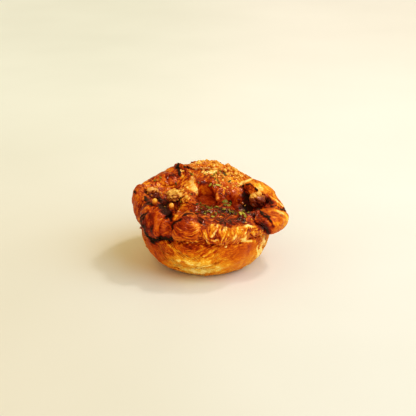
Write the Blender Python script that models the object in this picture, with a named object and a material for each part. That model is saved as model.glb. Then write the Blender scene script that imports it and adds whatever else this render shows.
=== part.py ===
"""A danish pastry baked in a round tin.

A rounded cup of laminated dough carries an overhanging crown of thick folds. The crown dips to
troughs left and right, where walnut pieces lie, and opens in the middle to a deep crater with a
set, glossy filling. Nut crumbs, two leaf flaps burnt dark and slivers of herb are stuck to the
dough.

Frame: X runs left to right, Y front to back and Z up; the origin is under the middle of the base.
Azimuths are in degrees round the middle: 0 right, 90 back, 180 left, 270 front.
"""

import math
from typing import NamedTuple

import bmesh
import bpy
import numpy as np
from mathutils import Matrix, Vector
from mathutils.bvhtree import BVHTree

MM = 0.001
GAP = 0.3
MERGE = 1e-6

# Cup: the part that took the tin's shape.
BASE_RADIUS = 26.0
CUP_RADIUS = 44.5
CUP_HEIGHT = 28.5
CUP_CENTRE = (-2.1, -0.3)

# Crown: the folded rim over the cup.
CROWN_RADIUS = 46.0
CROWN_WIDEST = 8.0
CREST_RADIUS = 33.0
CREST_HEIGHT = 47.5
CREST_TILT = 6.0
TILT_AZIMUTH = 130.0
CREASE_DEPTH = 2.0
TROUGH_DROP = 1.5

# Steps of the profile between the sizes above: insets from the wall and drops from the crest.
INNER_BASE_SHARE = 0.6
FOOT_SHARE = 0.48
FOOT_HEIGHT = 4.6
LOW_WALL_INSET = 2.2
LOW_WALL_HEIGHT = 12.5
WALL_HEIGHT = 20.5
LIP_INSET = 0.3
LIP_DROP = 2.5
OVERHANG_INSET = 2.6
OVERHANG_RISE = 1.2
SHOULDER_SHARE = 0.55
SHOULDER_OUT = 2.5
SHOULDER_DROP = 2.6
MIDDLE_FROM = 10.0
MIDDLE_TO = 14.0

# Folds: how far the closed edge sinks, how deep the underside lies and how far it is drawn in.
EDGE_SINK = 0.9
FOLD_DEPTH = 2.0
UNDERCUT = 0.93
CORNER_ROUNDING = 0.42

# Crater: the hole in the middle, and what has set in it.
CRATER_CENTRE = (-2.1, 1.2)
CRATER_HALF_WIDTH = 6.6
CRATER_HALF_LENGTH = 11.5
CRATER_FLOOR = 32.0
FILLING_LEVEL = 41.5
FILLING_SAG = 0.9
FILLING_CLEARANCE = 0.55
RIM_WIDTH = 6.5
RIM_DROP = 2.0
EDGE_DROP = 1.8
WALL_SHARE = 0.92
FLOOR_SHARE = 0.80
FLOOR_RISE = 2.0

# Mesh fineness.
BODY_SEGMENTS = 58
BODY_RINGS = 32
FILLING_SEGMENTS = 30
FILLING_RINGS = 10
PROFILE_SAMPLES = 600

# Unevenness of the dough: size of the lumps, their height and their seed.
BODY_LUMPS = ((22.0, 0.5, 1), (9.0, 0.35, 2))
LUMPY_FROM = 2.0
LUMPY_TO = 14.0
HOLLOW_STEEPNESS = 1.6

# Small toppings stuck to the skin.
CRUMB_SEED = 7
HERB_SEED = 11
CRUMB_SHAPE = (1.0, 0.9, 0.8)
CRUMB_LIFT = 0.3
HERB_WIDTH_SHARE = 0.45
HERB_THICKNESS = 0.35
HERB_LIFT = 0.15
TOPPING_DROP = 12.0


# Colours of the materials, linear.
DOUGH_COLOUR = (0.58, 0.17, 0.025)
FILLING_COLOUR = (0.2, 0.02, 0.005)
WALNUT_COLOUR = (0.32, 0.12, 0.04)


class Swell(NamedTuple):
    """A smooth hump of one size of the body round an azimuth; half high at half_width degrees."""

    azimuth: float
    half_width: float
    height: float


CREST_SWELLS = (
    Swell(85, 30, 3.4),
    Swell(70, 12, 1.0),
    Swell(124, 8, 1.6),
    Swell(152, 16, -1.6),
    Swell(352, 26, -3.4),
    Swell(180, 20, -1.2),
)
OUTWARD_SWELLS = (Swell(182, 22, 1.0), Swell(352, 22, 7.4), Swell(222, 12, 0.6), Swell(120, 20, 0.8))
CREST_OUTWARD_SWELLS = (Swell(181, 30, 9.0), Swell(6, 32, 8.5), Swell(90, 25, 1.5))
TROUGH_SWELLS = (Swell(188, 30, 6.5), Swell(2, 26, 4.5), Swell(225, 12, 3.0))
RIDGE_SWELLS = (Swell(180, 40, 0.6), Swell(0, 35, 4.5), Swell(270, 45, 3.0), Swell(90, 40, -1.2))
LIP_SWELLS = (Swell(288, 26, 1.6), Swell(180, 30, -1.0), Swell(345, 22, -1.2))
CUP_SWELLS = (Swell(0, 50, -2.2), Swell(180, 45, -1.4))


class Hollow(NamedTuple):
    """A steep-sided dent in the body's skin: its middle, half sizes in degrees and stations, depth."""

    azimuth: float
    station: float
    half_arc: float
    half_run: float
    turn: float
    depth: float


HOLLOWS = (
    Hollow(7, 12.15, 18, 0.66, 6, 5.2),
    Hollow(206, 12.0, 11, 0.55, 0, 4.0),
    Hollow(228, 11.0, 6, 1.0, -25, 3.0),
    Hollow(236, 9.6, 3.5, 1.4, 0, 2.0),
    Hollow(294, 11.2, 7, 0.3, 0, 1.6),
)


class Ribs(NamedTuple):
    """Ridges of dough layers on a fold: how many, how high, their turn and how far they bow."""

    count: float
    height: float
    turn: float
    bow: float


class Fold(NamedTuple):
    """A thick flap of dough that lies on the body.

    azimuth and station place its middle, half_arc (degrees) and half_run (stations) give its
    size, and turn skews it. It domes by rise, and its edge stands up by lip on the side that
    open_side points to (0 along the azimuth, 90 up the wall and over the crest). cells is how
    many cells its net has each way.
    """

    azimuth: float
    station: float
    half_arc: float
    half_run: float
    turn: float
    rise: float
    lip: float
    open_side: float
    cells: int = 7
    ribs: Ribs = Ribs(0.0, 0.0, 0.0, 0.0)


FOLDS = {
    "shell": Fold(254, 9.6, 12.5, 1.7, -6, 3.4, 0.4, 150, 11, Ribs(2.0, 0.35, 80, -0.45)),
    "front_band": Fold(288, 9.2, 22.0, 1.7, 2, 1.8, 1.8, 270, 12, Ribs(2.5, 0.45, 20, 0.1)),
    "right_lobe": Fold(338, 9.5, 19.0, 1.75, 4, 3.2, 1.2, 200),
    "right_roll": Fold(17, 10.1, 24.0, 1.25, -6, 2.0, 1.2, 90),
    "back_right": Fold(56, 9.7, 17.0, 1.7, 4, 1.8, 1.2, 270),
    "back_crust": Fold(88, 10.7, 24.0, 1.25, 0, 1.4, 1.2, 90),
    "back_low": Fold(100, 9.1, 22.0, 1.2, -4, 1.8, 1.4, 270),
    "left_dome": Fold(146, 11.0, 12.0, 1.0, 0, 1.9, 0.4, 90),
    "back_left": Fold(144, 9.2, 19.0, 1.4, 5, 1.8, 1.2, 270),
    "left_lobe": Fold(184, 9.55, 18.0, 1.6, 0, 2.2, 1.0, 90),
    "front_left_flap": Fold(219, 9.8, 13.0, 1.9, 6, 2.8, 1.6, 270),
    "pocket_hood": Fold(24, 11.0, 17.0, 0.62, 14, 1.6, 3.2, 90),
    "burnt_flap": Fold(215, 7.0, 15.0, 1.1, -14, 0.6, 1.5, 270),
    "burnt_tip": Fold(122, 11.0, 3.4, 0.8, 0, 2.4, 0.4, 90, 5),
    "crater_blister": Fold(160, 13.7, 20.0, 0.32, 0, 1.4, 0.5, 90, 6),
    "crater_flap": Fold(15, 13.6, 24.0, 0.36, 0, 1.3, 0.8, 90, 6),
}


class Nut(NamedTuple):
    """A walnut piece: its middle, half sizes and turn about Z, in millimetres and degrees."""

    middle: tuple
    half_size: tuple
    turn: float
    seed: int


WALNUTS = {
    "walnut_left_outer": Nut((-37.8, 0.2, 46.6), (5.0, 5.4, 4.6), 20, 3),
    "walnut_left_inner": Nut((-23.4, -3.8, 47.2), (5.4, 4.8, 4.4), -25, 5),
    "walnut_right": Nut((31.8, 0.2, 42.6), (6.0, 5.6, 5.4), 35, 9),
}
BEADS = {"walnut_left_outer": (-36.5, -4.0, 45.0), "walnut_left_inner": (-25.4, -7.0, 45.2)}
BEAD_SIZE = (1.7, 1.7, 2.2)
SOCKET_EASE = 1.07
CRAG_SIZES = (1.15, 0.7)
CRAG_HEIGHTS = (0.34, 0.10)
CRAG_RANGE = (0.62, 1.0)
CRAG_MIDDLE = 0.74


def swell_sum(azimuth, swells):
    """Sum of the swells at each azimuth."""
    total = np.zeros_like(azimuth)
    for swell in swells:
        away = (azimuth - swell.azimuth + 180.0) % 360.0 - 180.0
        total = total + swell.height * np.exp(-math.log(2.0) * (away / swell.half_width) ** 2)
    return total


def lumps(points, size, seed, waves=9):
    """Smooth bumps about size long, from -1 to 1, the same for the same seed."""
    draw = np.random.default_rng(seed)
    total = np.zeros(len(points))
    for _ in range(waves):
        direction = draw.normal(size=3)
        direction *= math.tau / size * draw.uniform(0.7, 1.3) / np.linalg.norm(direction)
        total += np.sin(points @ direction + draw.uniform(0.0, math.tau))
    return total / math.sqrt(waves * 2.0)


def crater_radius(azimuth):
    """Distance from the crater's middle to its edge."""
    turn = np.radians(azimuth)
    return 1.0 / np.hypot(np.cos(turn) / CRATER_HALF_WIDTH, np.sin(turn) / CRATER_HALF_LENGTH)


FILLING_STATION = 15.0
FLOOR_STATION = 16.0
LAST_STATION = 17.0


def stations(azimuth):
    """Radius and height of the body's stations, from the middle of the base to the crater floor."""
    level = np.ones_like(azimuth)
    tilt = CREST_TILT * np.cos(np.radians(azimuth - TILT_AZIMUTH))
    crest = CREST_HEIGHT + tilt + swell_sum(azimuth, CREST_SWELLS)
    crest_out = CREST_RADIUS + swell_sum(azimuth, CREST_OUTWARD_SWELLS)
    crown = CROWN_RADIUS + swell_sum(azimuth, OUTWARD_SWELLS)
    lip = CUP_HEIGHT + swell_sum(azimuth, LIP_SWELLS)
    edge = crater_radius(azimuth)
    ridge = edge + RIM_WIDTH
    ridge_height = crest - RIM_DROP + swell_sum(azimuth, RIDGE_SWELLS)
    trough = 0.5 * (crest_out + ridge)
    cup = CUP_RADIUS + swell_sum(azimuth, CUP_SWELLS)
    return (
        (0.0 * level, 0.0 * level),
        (INNER_BASE_SHARE * BASE_RADIUS * level, 0.0 * level),
        (BASE_RADIUS * level, 0.0 * level),
        (BASE_RADIUS + FOOT_SHARE * (cup - BASE_RADIUS), FOOT_HEIGHT * level),
        (cup - LOW_WALL_INSET, LOW_WALL_HEIGHT * level),
        (cup, WALL_HEIGHT * level),
        (cup - LIP_INSET, lip - LIP_DROP),
        (cup - CREASE_DEPTH, lip),
        (crown - OVERHANG_INSET, lip + OVERHANG_RISE),
        (crown, lip + CROWN_WIDEST),
        (crown + SHOULDER_SHARE * (crest_out - crown) + SHOULDER_OUT, crest - SHOULDER_DROP),
        (crest_out, crest),
        (trough, crest - TROUGH_DROP - swell_sum(azimuth, TROUGH_SWELLS)),
        (ridge, ridge_height),
        (edge, ridge_height - EDGE_DROP),
        (WALL_SHARE * edge, FILLING_LEVEL * level),
        (FLOOR_SHARE * edge, (CRATER_FLOOR + FLOOR_RISE) * level),
        (0.0 * level, CRATER_FLOOR * level),
    )


def body_point(azimuth, station):
    """Points of the body's skin: azimuths in degrees, stations from 0 to LAST_STATION."""
    keys = stations(azimuth)
    radii = np.stack([key[0] for key in keys])
    heights = np.stack([key[1] for key in keys])
    whole = np.clip(np.floor(station), 0, LAST_STATION - 1).astype(int)
    part = station - whole
    column = np.arange(len(azimuth))
    weights = (
        0.5 * (-part + 2 * part**2 - part**3),
        0.5 * (2 - 5 * part**2 + 3 * part**3),
        0.5 * (part + 4 * part**2 - 3 * part**3),
        0.5 * (part**3 - part**2),
    )
    radius = np.zeros(len(azimuth))
    height = np.zeros(len(azimuth))
    for offset, weight in zip((-1, 0, 1, 2), weights):
        row = np.clip(whole + offset, 0, int(LAST_STATION))
        radius += weight * radii[row, column]
        height += weight * heights[row, column]
    shift = np.clip((station - MIDDLE_FROM) / (MIDDLE_TO - MIDDLE_FROM), 0.0, 1.0)
    turn = np.radians(azimuth)
    middle_x = CUP_CENTRE[0] + shift * (CRATER_CENTRE[0] - CUP_CENTRE[0])
    middle_y = CUP_CENTRE[1] + shift * (CRATER_CENTRE[1] - CUP_CENTRE[1])
    radius = np.maximum(radius, 0.0)
    x = middle_x + radius * np.cos(turn)
    y = middle_y + radius * np.sin(turn)
    return np.column_stack([x, y, np.maximum(height, 0.0)])


def body_normal(azimuth, station):
    """Unit normals of the body's skin, pointing out of the dough."""
    along = body_point(azimuth + 0.5, station) - body_point(azimuth - 0.5, station)
    low = np.maximum(station - 0.04, 0.0)
    high = np.minimum(station + 0.04, LAST_STATION)
    up = body_point(azimuth, high) - body_point(azimuth, low)
    normal = np.cross(along, up)
    return normal / np.maximum(np.linalg.norm(normal, axis=1), 1e-9)[:, None]


def fold_place(fold, across, up):
    """Azimuths, stations and headings of a fold's points, for across and up from -1 to 1."""
    side = across * np.sqrt(1.0 - CORNER_ROUNDING * up**2)
    rise = up * np.sqrt(1.0 - CORNER_ROUNDING * across**2)
    heading = np.arctan2(rise, side)
    ragged = 1.0 + 0.07 * np.sin(3.0 * heading + fold.azimuth) + 0.04 * np.sin(5.0 * heading)
    skew = math.radians(fold.turn)
    azimuth = fold.azimuth + fold.half_arc * ragged * (side * math.cos(skew) - rise * math.sin(skew))
    station = fold.station + fold.half_run * ragged * (side * math.sin(skew) + rise * math.cos(skew))
    return azimuth, station, heading


def rib_height(ribs, across, up):
    """Height of a fold's layer ridges."""
    turn = math.radians(ribs.turn)
    along = across * math.cos(turn) + up * math.sin(turn)
    beside = up * math.cos(turn) - across * math.sin(turn)
    return ribs.height * np.cos(math.tau * ribs.count * (along + ribs.bow * beside**2))


def fold_skin(fold, across, up):
    """Points of a fold's upper skin."""
    azimuth, station, heading = fold_place(fold, across, up)
    reach = np.maximum(np.abs(across), np.abs(up))
    open_share = 0.5 + 0.5 * np.cos(heading - math.radians(fold.open_side))
    edge = fold.lip * open_share - EDGE_SINK * (1.0 - open_share)
    height = edge + fold.rise * (1.0 - reach**3) + rib_height(fold.ribs, across, up) * (1.0 - reach**4)
    return body_point(azimuth, station) + body_normal(azimuth, station) * height[:, None]


def fold_underside(fold, across, up):
    """Points of a fold's underside, sunk in the body and drawn in under its edge."""
    azimuth, station, _ = fold_place(fold, UNDERCUT * across, UNDERCUT * up)
    return body_point(azimuth, station) - body_normal(azimuth, station) * FOLD_DEPTH


def finish(mesh, name, collection, colour, roughness):
    """A named object for a mesh, in its collection, smooth shaded and in its own colour."""
    mesh.shade_smooth()
    mesh.set_sharp_from_angle(angle=math.radians(50))
    material = bpy.data.materials.new(name)
    material.use_nodes = True
    shader = material.node_tree.nodes["Principled BSDF"]
    shader.inputs["Base Color"].default_value = (*colour, 1.0)
    shader.inputs["Roughness"].default_value = roughness
    shader.inputs["Metallic"].default_value = 0.0
    mesh.materials.clear()
    mesh.materials.append(material)
    piece = bpy.data.objects.new(name, mesh)
    collection.objects.link(piece)
    return piece


def mesh_of(shape, name):
    """A Blender mesh from a bmesh whose points are in millimetres."""
    bmesh.ops.scale(shape, vec=(MM, MM, MM), verts=shape.verts)
    mesh = bpy.data.meshes.new(name)
    shape.to_mesh(mesh)
    shape.free()
    return mesh


def move_points(shape, points):
    """Sets the places of a bmesh's points."""
    for vertex, point in zip(shape.verts, points):
        vertex.co = Vector(point)
    shape.normal_update()


def body_shape():
    """The dough's main body: a sphere's net of rings drawn onto the body's skin."""
    shape = bmesh.new()
    bmesh.ops.create_uvsphere(shape, u_segments=BODY_SEGMENTS, v_segments=BODY_RINGS, radius=1.0)
    ball = np.array([vertex.co for vertex in shape.verts])
    azimuth = np.degrees(np.arctan2(ball[:, 1], ball[:, 0]))
    polar = 1.0 - np.arccos(np.clip(ball[:, 2], -1.0, 1.0)) / math.pi
    station = even_stations(polar)
    points = body_point(azimuth, station)
    outer = np.clip(station - LUMPY_FROM, 0.0, 1.0) * np.clip(LUMPY_TO - station, 0.0, 1.0)
    normals = body_normal(azimuth, station)
    rough = sum(height * lumps(points, size, seed) for size, height, seed in BODY_LUMPS)
    points += normals * (rough * outer - hollow_depth(azimuth, station))[:, None]
    points[:, 2] = np.maximum(points[:, 2], 0.0)
    move_points(shape, points)
    bmesh.ops.recalc_face_normals(shape, faces=shape.faces)
    bmesh.ops.triangulate(shape, faces=shape.faces)
    return shape


def hollow_depth(azimuth, station):
    """How deep the hollows dent the body's skin."""
    depth = np.zeros_like(azimuth)
    for hollow in HOLLOWS:
        arc = ((azimuth - hollow.azimuth + 180.0) % 360.0 - 180.0) / hollow.half_arc
        run = (station - hollow.station) / hollow.half_run
        skew = math.radians(hollow.turn)
        along = arc * math.cos(skew) + run * math.sin(skew)
        beside = run * math.cos(skew) - arc * math.sin(skew)
        depth += hollow.depth * np.exp(-((along**2 + beside**2) ** HOLLOW_STEEPNESS))
    return depth


def even_stations(share):
    """Stations at even steps of length along the profile, for shares from 0 to 1."""
    fine = np.linspace(0.0, LAST_STATION, PROFILE_SAMPLES)
    length = np.zeros(PROFILE_SAMPLES)
    for azimuth in range(0, 360, 30):
        line = body_point(np.full(PROFILE_SAMPLES, float(azimuth)), fine)
        length[1:] += np.linalg.norm(np.diff(line, axis=0), axis=1)
    length = np.cumsum(length)
    return np.interp(share, length / length[-1], fine)


def fold_shape(fold):
    """A fold as a closed solid, its underside sunk in the body."""
    shape = bmesh.new()
    bmesh.ops.create_grid(shape, x_segments=fold.cells, y_segments=fold.cells, size=1.0)
    flat = np.array([vertex.co for vertex in shape.verts])
    upper = list(shape.verts)
    copied = bmesh.ops.duplicate(shape, geom=upper + list(shape.faces))["geom"]
    lower = [item for item in copied if isinstance(item, bmesh.types.BMVert)]
    faces = [item for item in copied if isinstance(item, bmesh.types.BMFace)]
    places = list(fold_skin(fold, flat[:, 0], flat[:, 1]))
    places += list(fold_underside(fold, flat[:, 0], flat[:, 1]))
    for vertex, place in zip(upper + lower, places):
        vertex.co = Vector(place)
    bmesh.ops.reverse_faces(shape, faces=faces)
    bmesh.ops.bridge_loops(shape, edges=[edge for edge in shape.edges if edge.is_boundary])
    bmesh.ops.triangulate(shape, faces=shape.faces)
    shape.normal_update()
    if shape.calc_volume(signed=True) < 0.0:
        bmesh.ops.reverse_faces(shape, faces=shape.faces)
    return shape


def ball_shape(middle, half_size, turn, subdivisions):
    """An egg-shaped ball with triangular faces."""
    shape = bmesh.new()
    bmesh.ops.create_icosphere(shape, subdivisions=subdivisions, radius=1.0)
    placing = Matrix.Translation(middle) @ Matrix.Rotation(math.radians(turn), 4, "Z")
    placing = placing @ Matrix.Diagonal((*half_size, 1.0))
    bmesh.ops.transform(shape, matrix=placing, verts=shape.verts)
    return shape


def walnut_shape(nut):
    """A walnut piece: a ball with deep winding crags."""
    shape = ball_shape((0.0, 0.0, 0.0), (1.0, 1.0, 1.0), 0.0, 3)
    ball = np.array([vertex.co for vertex in shape.verts])
    winding = np.abs(lumps(ball, CRAG_SIZES[0], nut.seed)) ** 0.7
    fine = lumps(ball, CRAG_SIZES[1], nut.seed + 20)
    crag = CRAG_MIDDLE + CRAG_HEIGHTS[0] * winding + CRAG_HEIGHTS[1] * fine
    points = ball * np.clip(crag, *CRAG_RANGE)[:, None] * np.array(nut.half_size)
    turn = math.radians(nut.turn)
    spin = np.array([[math.cos(turn), math.sin(turn), 0], [-math.sin(turn), math.cos(turn), 0], [0, 0, 1]])
    move_points(shape, points @ spin + np.array(nut.middle))
    return shape


def socket_shape(nut):
    """The hollow that a walnut piece sits in, a gap wider than the walnut."""
    half_size = [SOCKET_EASE * half + GAP for half in nut.half_size]
    return ball_shape(nut.middle, half_size, nut.turn, 2)


class Patch(NamedTuple):
    """A stretch of the skin where small toppings lie: middle, spreads, how many and how large."""

    azimuth: float
    station: float
    arc: float
    run: float
    count: int
    half_size: float


CRUMB_PATCHES = (
    Patch(66, 11.4, 18, 0.8, 20, 1.2),
    Patch(58, 12.7, 13, 0.6, 8, 0.9),
    Patch(160, 12.4, 12, 0.5, 5, 1.1),
    Patch(200, 12.9, 12, 0.4, 5, 1.0),
    Patch(24, 13.2, 12, 0.35, 5, 0.9),
    Patch(120, 12.2, 10, 0.6, 3, 1.0),
)
HERB_PATCHES = (
    Patch(268, 13.0, 26, 0.9, 8, 1.7),
    Patch(310, 12.6, 14, 0.7, 4, 1.6),
    Patch(78, 12.4, 16, 0.7, 4, 1.5),
    Patch(150, 11.6, 10, 0.5, 2, 1.3),
)


def skin_places(patches, trees, seed):
    """Places on the outer skin of all the shapes in trees: point, normal, half size and turn."""
    draw = np.random.default_rng(seed)
    for patch in patches:
        for _ in range(patch.count):
            where = np.array([patch.azimuth + patch.arc * draw.uniform(-1.0, 1.0)])
            level = np.array([patch.station + patch.run * draw.uniform(-1.0, 1.0)])
            size = patch.half_size * draw.uniform(0.75, 1.25)
            turn = draw.uniform(0.0, 180.0)
            normal = Vector(body_normal(where, level)[0])
            start = Vector(body_point(where, level)[0]) + normal * TOPPING_DROP
            hits = [tree.ray_cast(start, -normal, 2.0 * TOPPING_DROP) for tree in trees]
            hits = [hit for hit in hits if hit[0] is not None]
            if hits:
                nearest = min(hits, key=lambda hit: hit[3])
                yield nearest[0], normal, size, turn


def crumb_shapes(trees):
    """Nut crumbs stuck to the skin."""
    for point, normal, size, turn in skin_places(CRUMB_PATCHES, trees, CRUMB_SEED):
        half_size = [size * share for share in CRUMB_SHAPE]
        yield ball_shape(point + normal * CRUMB_LIFT * size, half_size, turn, 1)


def herb_shapes(trees):
    """Slivers of herb: flat leaves, bent to the skin."""
    for point, normal, size, turn in skin_places(HERB_PATCHES, trees, HERB_SEED):
        half_size = (size, HERB_WIDTH_SHARE * size, HERB_THICKNESS)
        sliver = ball_shape((0.0, 0.0, 0.0), half_size, turn, 1)
        facing = normal.to_track_quat("Z", "Y").to_matrix().to_4x4()
        placing = Matrix.Translation(point + normal * HERB_LIFT) @ facing
        bmesh.ops.transform(sliver, matrix=placing, verts=sliver.verts)
        yield sliver


def union(name, shapes, collection):
    """One closed mesh from overlapping shapes; the first carries the rest."""
    gathered = bpy.data.collections.new(name + "_pieces")
    bpy.context.scene.collection.children.link(gathered)
    gathered.hide_render = True
    first = bpy.data.objects.new(name + "_core", mesh_of(shapes[0], name + "_core"))
    collection.objects.link(first)
    for index, shape in enumerate(shapes[1:]):
        helper = bpy.data.objects.new(f"{name}_{index}", mesh_of(shape, f"{name}_{index}"))
        helper.display_type = "WIRE"
        gathered.objects.link(helper)
    join = first.modifiers.new("join", "BOOLEAN")
    join.operation = "UNION"
    join.operand_type = "COLLECTION"
    join.collection = gathered
    join.solver = "MANIFOLD"
    mesh = evaluated_mesh(first)
    for helper in list(gathered.objects) + [first]:
        bpy.data.objects.remove(helper)
    bpy.data.collections.remove(gathered)
    return mesh


def cut(mesh, cutters, collection):
    """The mesh with each cutter's space taken out of it."""
    piece = bpy.data.objects.new("cut_piece", mesh)
    collection.objects.link(piece)
    helpers = []
    for index, shape in enumerate(cutters):
        helper = bpy.data.objects.new(f"cutter_{index}", mesh_of(shape, f"cutter_{index}"))
        helper.hide_render = True
        collection.objects.link(helper)
        helpers.append(helper)
        saw = piece.modifiers.new(helper.name, "BOOLEAN")
        saw.operation = "DIFFERENCE"
        saw.object = helper
        saw.solver = "MANIFOLD"
    result = evaluated_mesh(piece)
    for helper in helpers + [piece]:
        bpy.data.objects.remove(helper)
    return result


def evaluated_mesh(piece):
    """A mesh of the object as its modifiers leave it."""
    bpy.context.view_layer.update()
    graph = bpy.context.evaluated_depsgraph_get()
    return bpy.data.meshes.new_from_object(piece.evaluated_get(graph))


def largest_body(mesh):
    """The mesh's largest closed skin, merged and triangulated, with loose scraps dropped."""
    shape = bmesh.new()
    shape.from_mesh(mesh)
    bmesh.ops.remove_doubles(shape, verts=shape.verts, dist=MERGE)
    bmesh.ops.dissolve_degenerate(shape, edges=shape.edges, dist=MERGE)
    bmesh.ops.triangulate(shape, faces=shape.faces)
    unseen = set(shape.faces)
    skins = []
    while unseen:
        heap = [unseen.pop()]
        skin = list(heap)
        while heap:
            for edge in heap.pop().edges:
                beyond = [face for face in edge.link_faces if face in unseen]
                unseen.difference_update(beyond)
                heap += beyond
                skin += beyond
        skins.append(skin)
    skins.sort(key=len)
    for skin in skins[:-1]:
        bmesh.ops.delete(shape, geom=skin, context="FACES")
    bmesh.ops.recalc_face_normals(shape, faces=shape.faces)
    shape.to_mesh(mesh)
    shape.free()
    return mesh


def filling_shape():
    """The set filling: the crater's hollow up to its level, a gap clear of its walls."""
    shape = bmesh.new()
    bmesh.ops.create_uvsphere(
        shape, u_segments=FILLING_SEGMENTS, v_segments=FILLING_RINGS, radius=1.0
    )
    ball = np.array([vertex.co for vertex in shape.verts])
    azimuth = np.degrees(np.arctan2(ball[:, 1], ball[:, 0]))
    share = np.hypot(ball[:, 0], ball[:, 1])
    top = ball[:, 2] > -0.02
    wall = body_point(azimuth, np.where(top, FILLING_STATION, FLOOR_STATION))
    middle = np.array(CRATER_CENTRE)
    reach = np.linalg.norm(wall[:, :2] - middle, axis=1) - FILLING_CLEARANCE
    sag = FILLING_SAG * (1.0 - share**2)
    height = np.where(top, FILLING_LEVEL - sag, CRATER_FLOOR + FLOOR_RISE + FILLING_CLEARANCE)
    turn = np.radians(azimuth)
    x = middle[0] + share * reach * np.cos(turn)
    y = middle[1] + share * reach * np.sin(turn)
    points = np.column_stack([x, y, height])
    move_points(shape, points)
    bmesh.ops.recalc_face_normals(shape, faces=shape.faces)
    bmesh.ops.triangulate(shape, faces=shape.faces)
    return shape


def build():
    """Makes the pastry, its filling and its walnut pieces."""
    for piece in list(bpy.data.objects):
        bpy.data.objects.remove(piece)
    bpy.context.scene.unit_settings.system = "METRIC"
    collection = bpy.data.collections.new("danish_pastry")
    bpy.context.scene.collection.children.link(collection)

    shapes = [body_shape()]
    shapes += [fold_shape(fold) for fold in FOLDS.values()]
    trees = [BVHTree.FromBMesh(shape) for shape in shapes]
    shapes += list(crumb_shapes(trees)) + list(herb_shapes(trees))
    mesh = union("dough", shapes, collection)
    sockets = [socket_shape(nut) for nut in WALNUTS.values()]
    bead_room = [half + GAP for half in BEAD_SIZE]
    sockets += [ball_shape(middle, bead_room, 0.0, 2) for middle in BEADS.values()]
    mesh = largest_body(cut(mesh, sockets, collection))
    mesh.name = "pastry"
    finish(mesh, "pastry", collection, DOUGH_COLOUR, 0.45)
    finish(mesh_of(filling_shape(), "filling"), "filling", collection, FILLING_COLOUR, 0.15)
    for name, nut in WALNUTS.items():
        mesh = mesh_of(walnut_shape(nut), name)
        if name in BEADS:
            shapes = [walnut_shape(nut), ball_shape(BEADS[name], BEAD_SIZE, 0.0, 2)]
            mesh = union(name, shapes, collection)
        finish(mesh, name, collection, WALNUT_COLOUR, 0.6)


build()
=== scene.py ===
"""A danish pastry baked in a round tin, dressed and lit.

The dough is a cup with an overhanging crown, sixteen thick folds that lie on them, nut crumbs and
slivers of herb. The crater holds a set filling, and walnut pieces lie in the troughs. Sizes are
in millimetres and azimuths in degrees round the middle: 0 right, 90 back, 180 left, 270 front.
"""

import logging
import math
from dataclasses import dataclass
from enum import Enum
from typing import Callable, Iterable, NamedTuple, Optional

import bpy
import numpy as np
from mathutils import Matrix, Vector
from mathutils.bvhtree import BVHTree
from mathutils.kdtree import KDTree


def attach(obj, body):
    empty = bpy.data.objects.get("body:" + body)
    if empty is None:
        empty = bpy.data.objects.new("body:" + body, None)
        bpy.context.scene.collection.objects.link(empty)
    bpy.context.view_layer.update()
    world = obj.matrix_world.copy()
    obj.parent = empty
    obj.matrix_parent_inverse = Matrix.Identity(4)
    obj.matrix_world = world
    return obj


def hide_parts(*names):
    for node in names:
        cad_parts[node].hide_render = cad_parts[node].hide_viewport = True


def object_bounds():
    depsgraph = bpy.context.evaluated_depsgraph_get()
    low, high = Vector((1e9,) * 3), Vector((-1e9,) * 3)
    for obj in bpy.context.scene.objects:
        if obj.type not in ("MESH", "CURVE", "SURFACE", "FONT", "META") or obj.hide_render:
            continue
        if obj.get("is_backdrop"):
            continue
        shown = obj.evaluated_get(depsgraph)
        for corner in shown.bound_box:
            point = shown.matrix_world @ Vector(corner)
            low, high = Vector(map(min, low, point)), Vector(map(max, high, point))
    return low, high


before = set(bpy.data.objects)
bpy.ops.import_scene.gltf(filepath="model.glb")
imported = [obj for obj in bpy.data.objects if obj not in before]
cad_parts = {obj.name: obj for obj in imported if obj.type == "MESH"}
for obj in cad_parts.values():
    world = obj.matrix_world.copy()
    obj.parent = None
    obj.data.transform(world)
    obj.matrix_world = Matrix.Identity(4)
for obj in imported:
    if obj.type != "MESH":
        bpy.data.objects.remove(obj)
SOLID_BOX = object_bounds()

MM = 0.001
LOG = logging.getLogger("danish_pastry")


def ease(low: float, high: float, value: np.ndarray) -> np.ndarray:
    """Smooth step from 0 at low to 1 at high."""
    share = np.clip((value - low) / (high - low), 0.0, 1.0)
    return share * share * (3.0 - 2.0 * share)


def linear(red: float, green: float, blue: float) -> tuple[float, float, float, float]:
    """A colour seen as 0 to 255 on a screen, as linear light."""
    light = [((c / 255.0 + 0.055) / 1.055) ** 2.4 if c > 10 else c / 3294.6 for c in (red, green, blue)]
    return (*light, 1.0)


def unit(rows: np.ndarray) -> np.ndarray:
    """The rows at a length of 1."""
    return rows / np.maximum(np.linalg.norm(rows, axis=1), 1e-9)[:, None]


def turn_from(middle: float, azimuth: np.ndarray) -> np.ndarray:
    """Degrees from the middle to each azimuth, -180 to 180."""
    return (azimuth - middle + 180.0) % 360.0 - 180.0


def azimuth_of(points: np.ndarray) -> np.ndarray:
    """Degrees round the middle of each point, 0 to 360."""
    return np.degrees(np.arctan2(points[:, 1], points[:, 0])) % 360.0


# ---------------------------------------------------------------- shape of the dough


class Swell(NamedTuple):
    """A smooth hump of one size of the dough round an azimuth; half high at half_width degrees."""

    azimuth: float
    half_width: float
    height: float


class Hollow(NamedTuple):
    """A steep-sided dent in the skin: its middle, half sizes in degrees and stations, depth."""

    azimuth: float
    station: float
    half_arc: float
    half_run: float
    turn: float
    depth: float


def swell_sum(azimuth: np.ndarray, swells: Iterable[Swell]) -> np.ndarray:
    """Sum of the swells at each azimuth."""
    total = np.zeros_like(azimuth)
    for swell in swells:
        away = turn_from(swell.azimuth, azimuth) / swell.half_width
        total = total + swell.height * np.exp(-math.log(2.0) * away**2)
    return total


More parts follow.
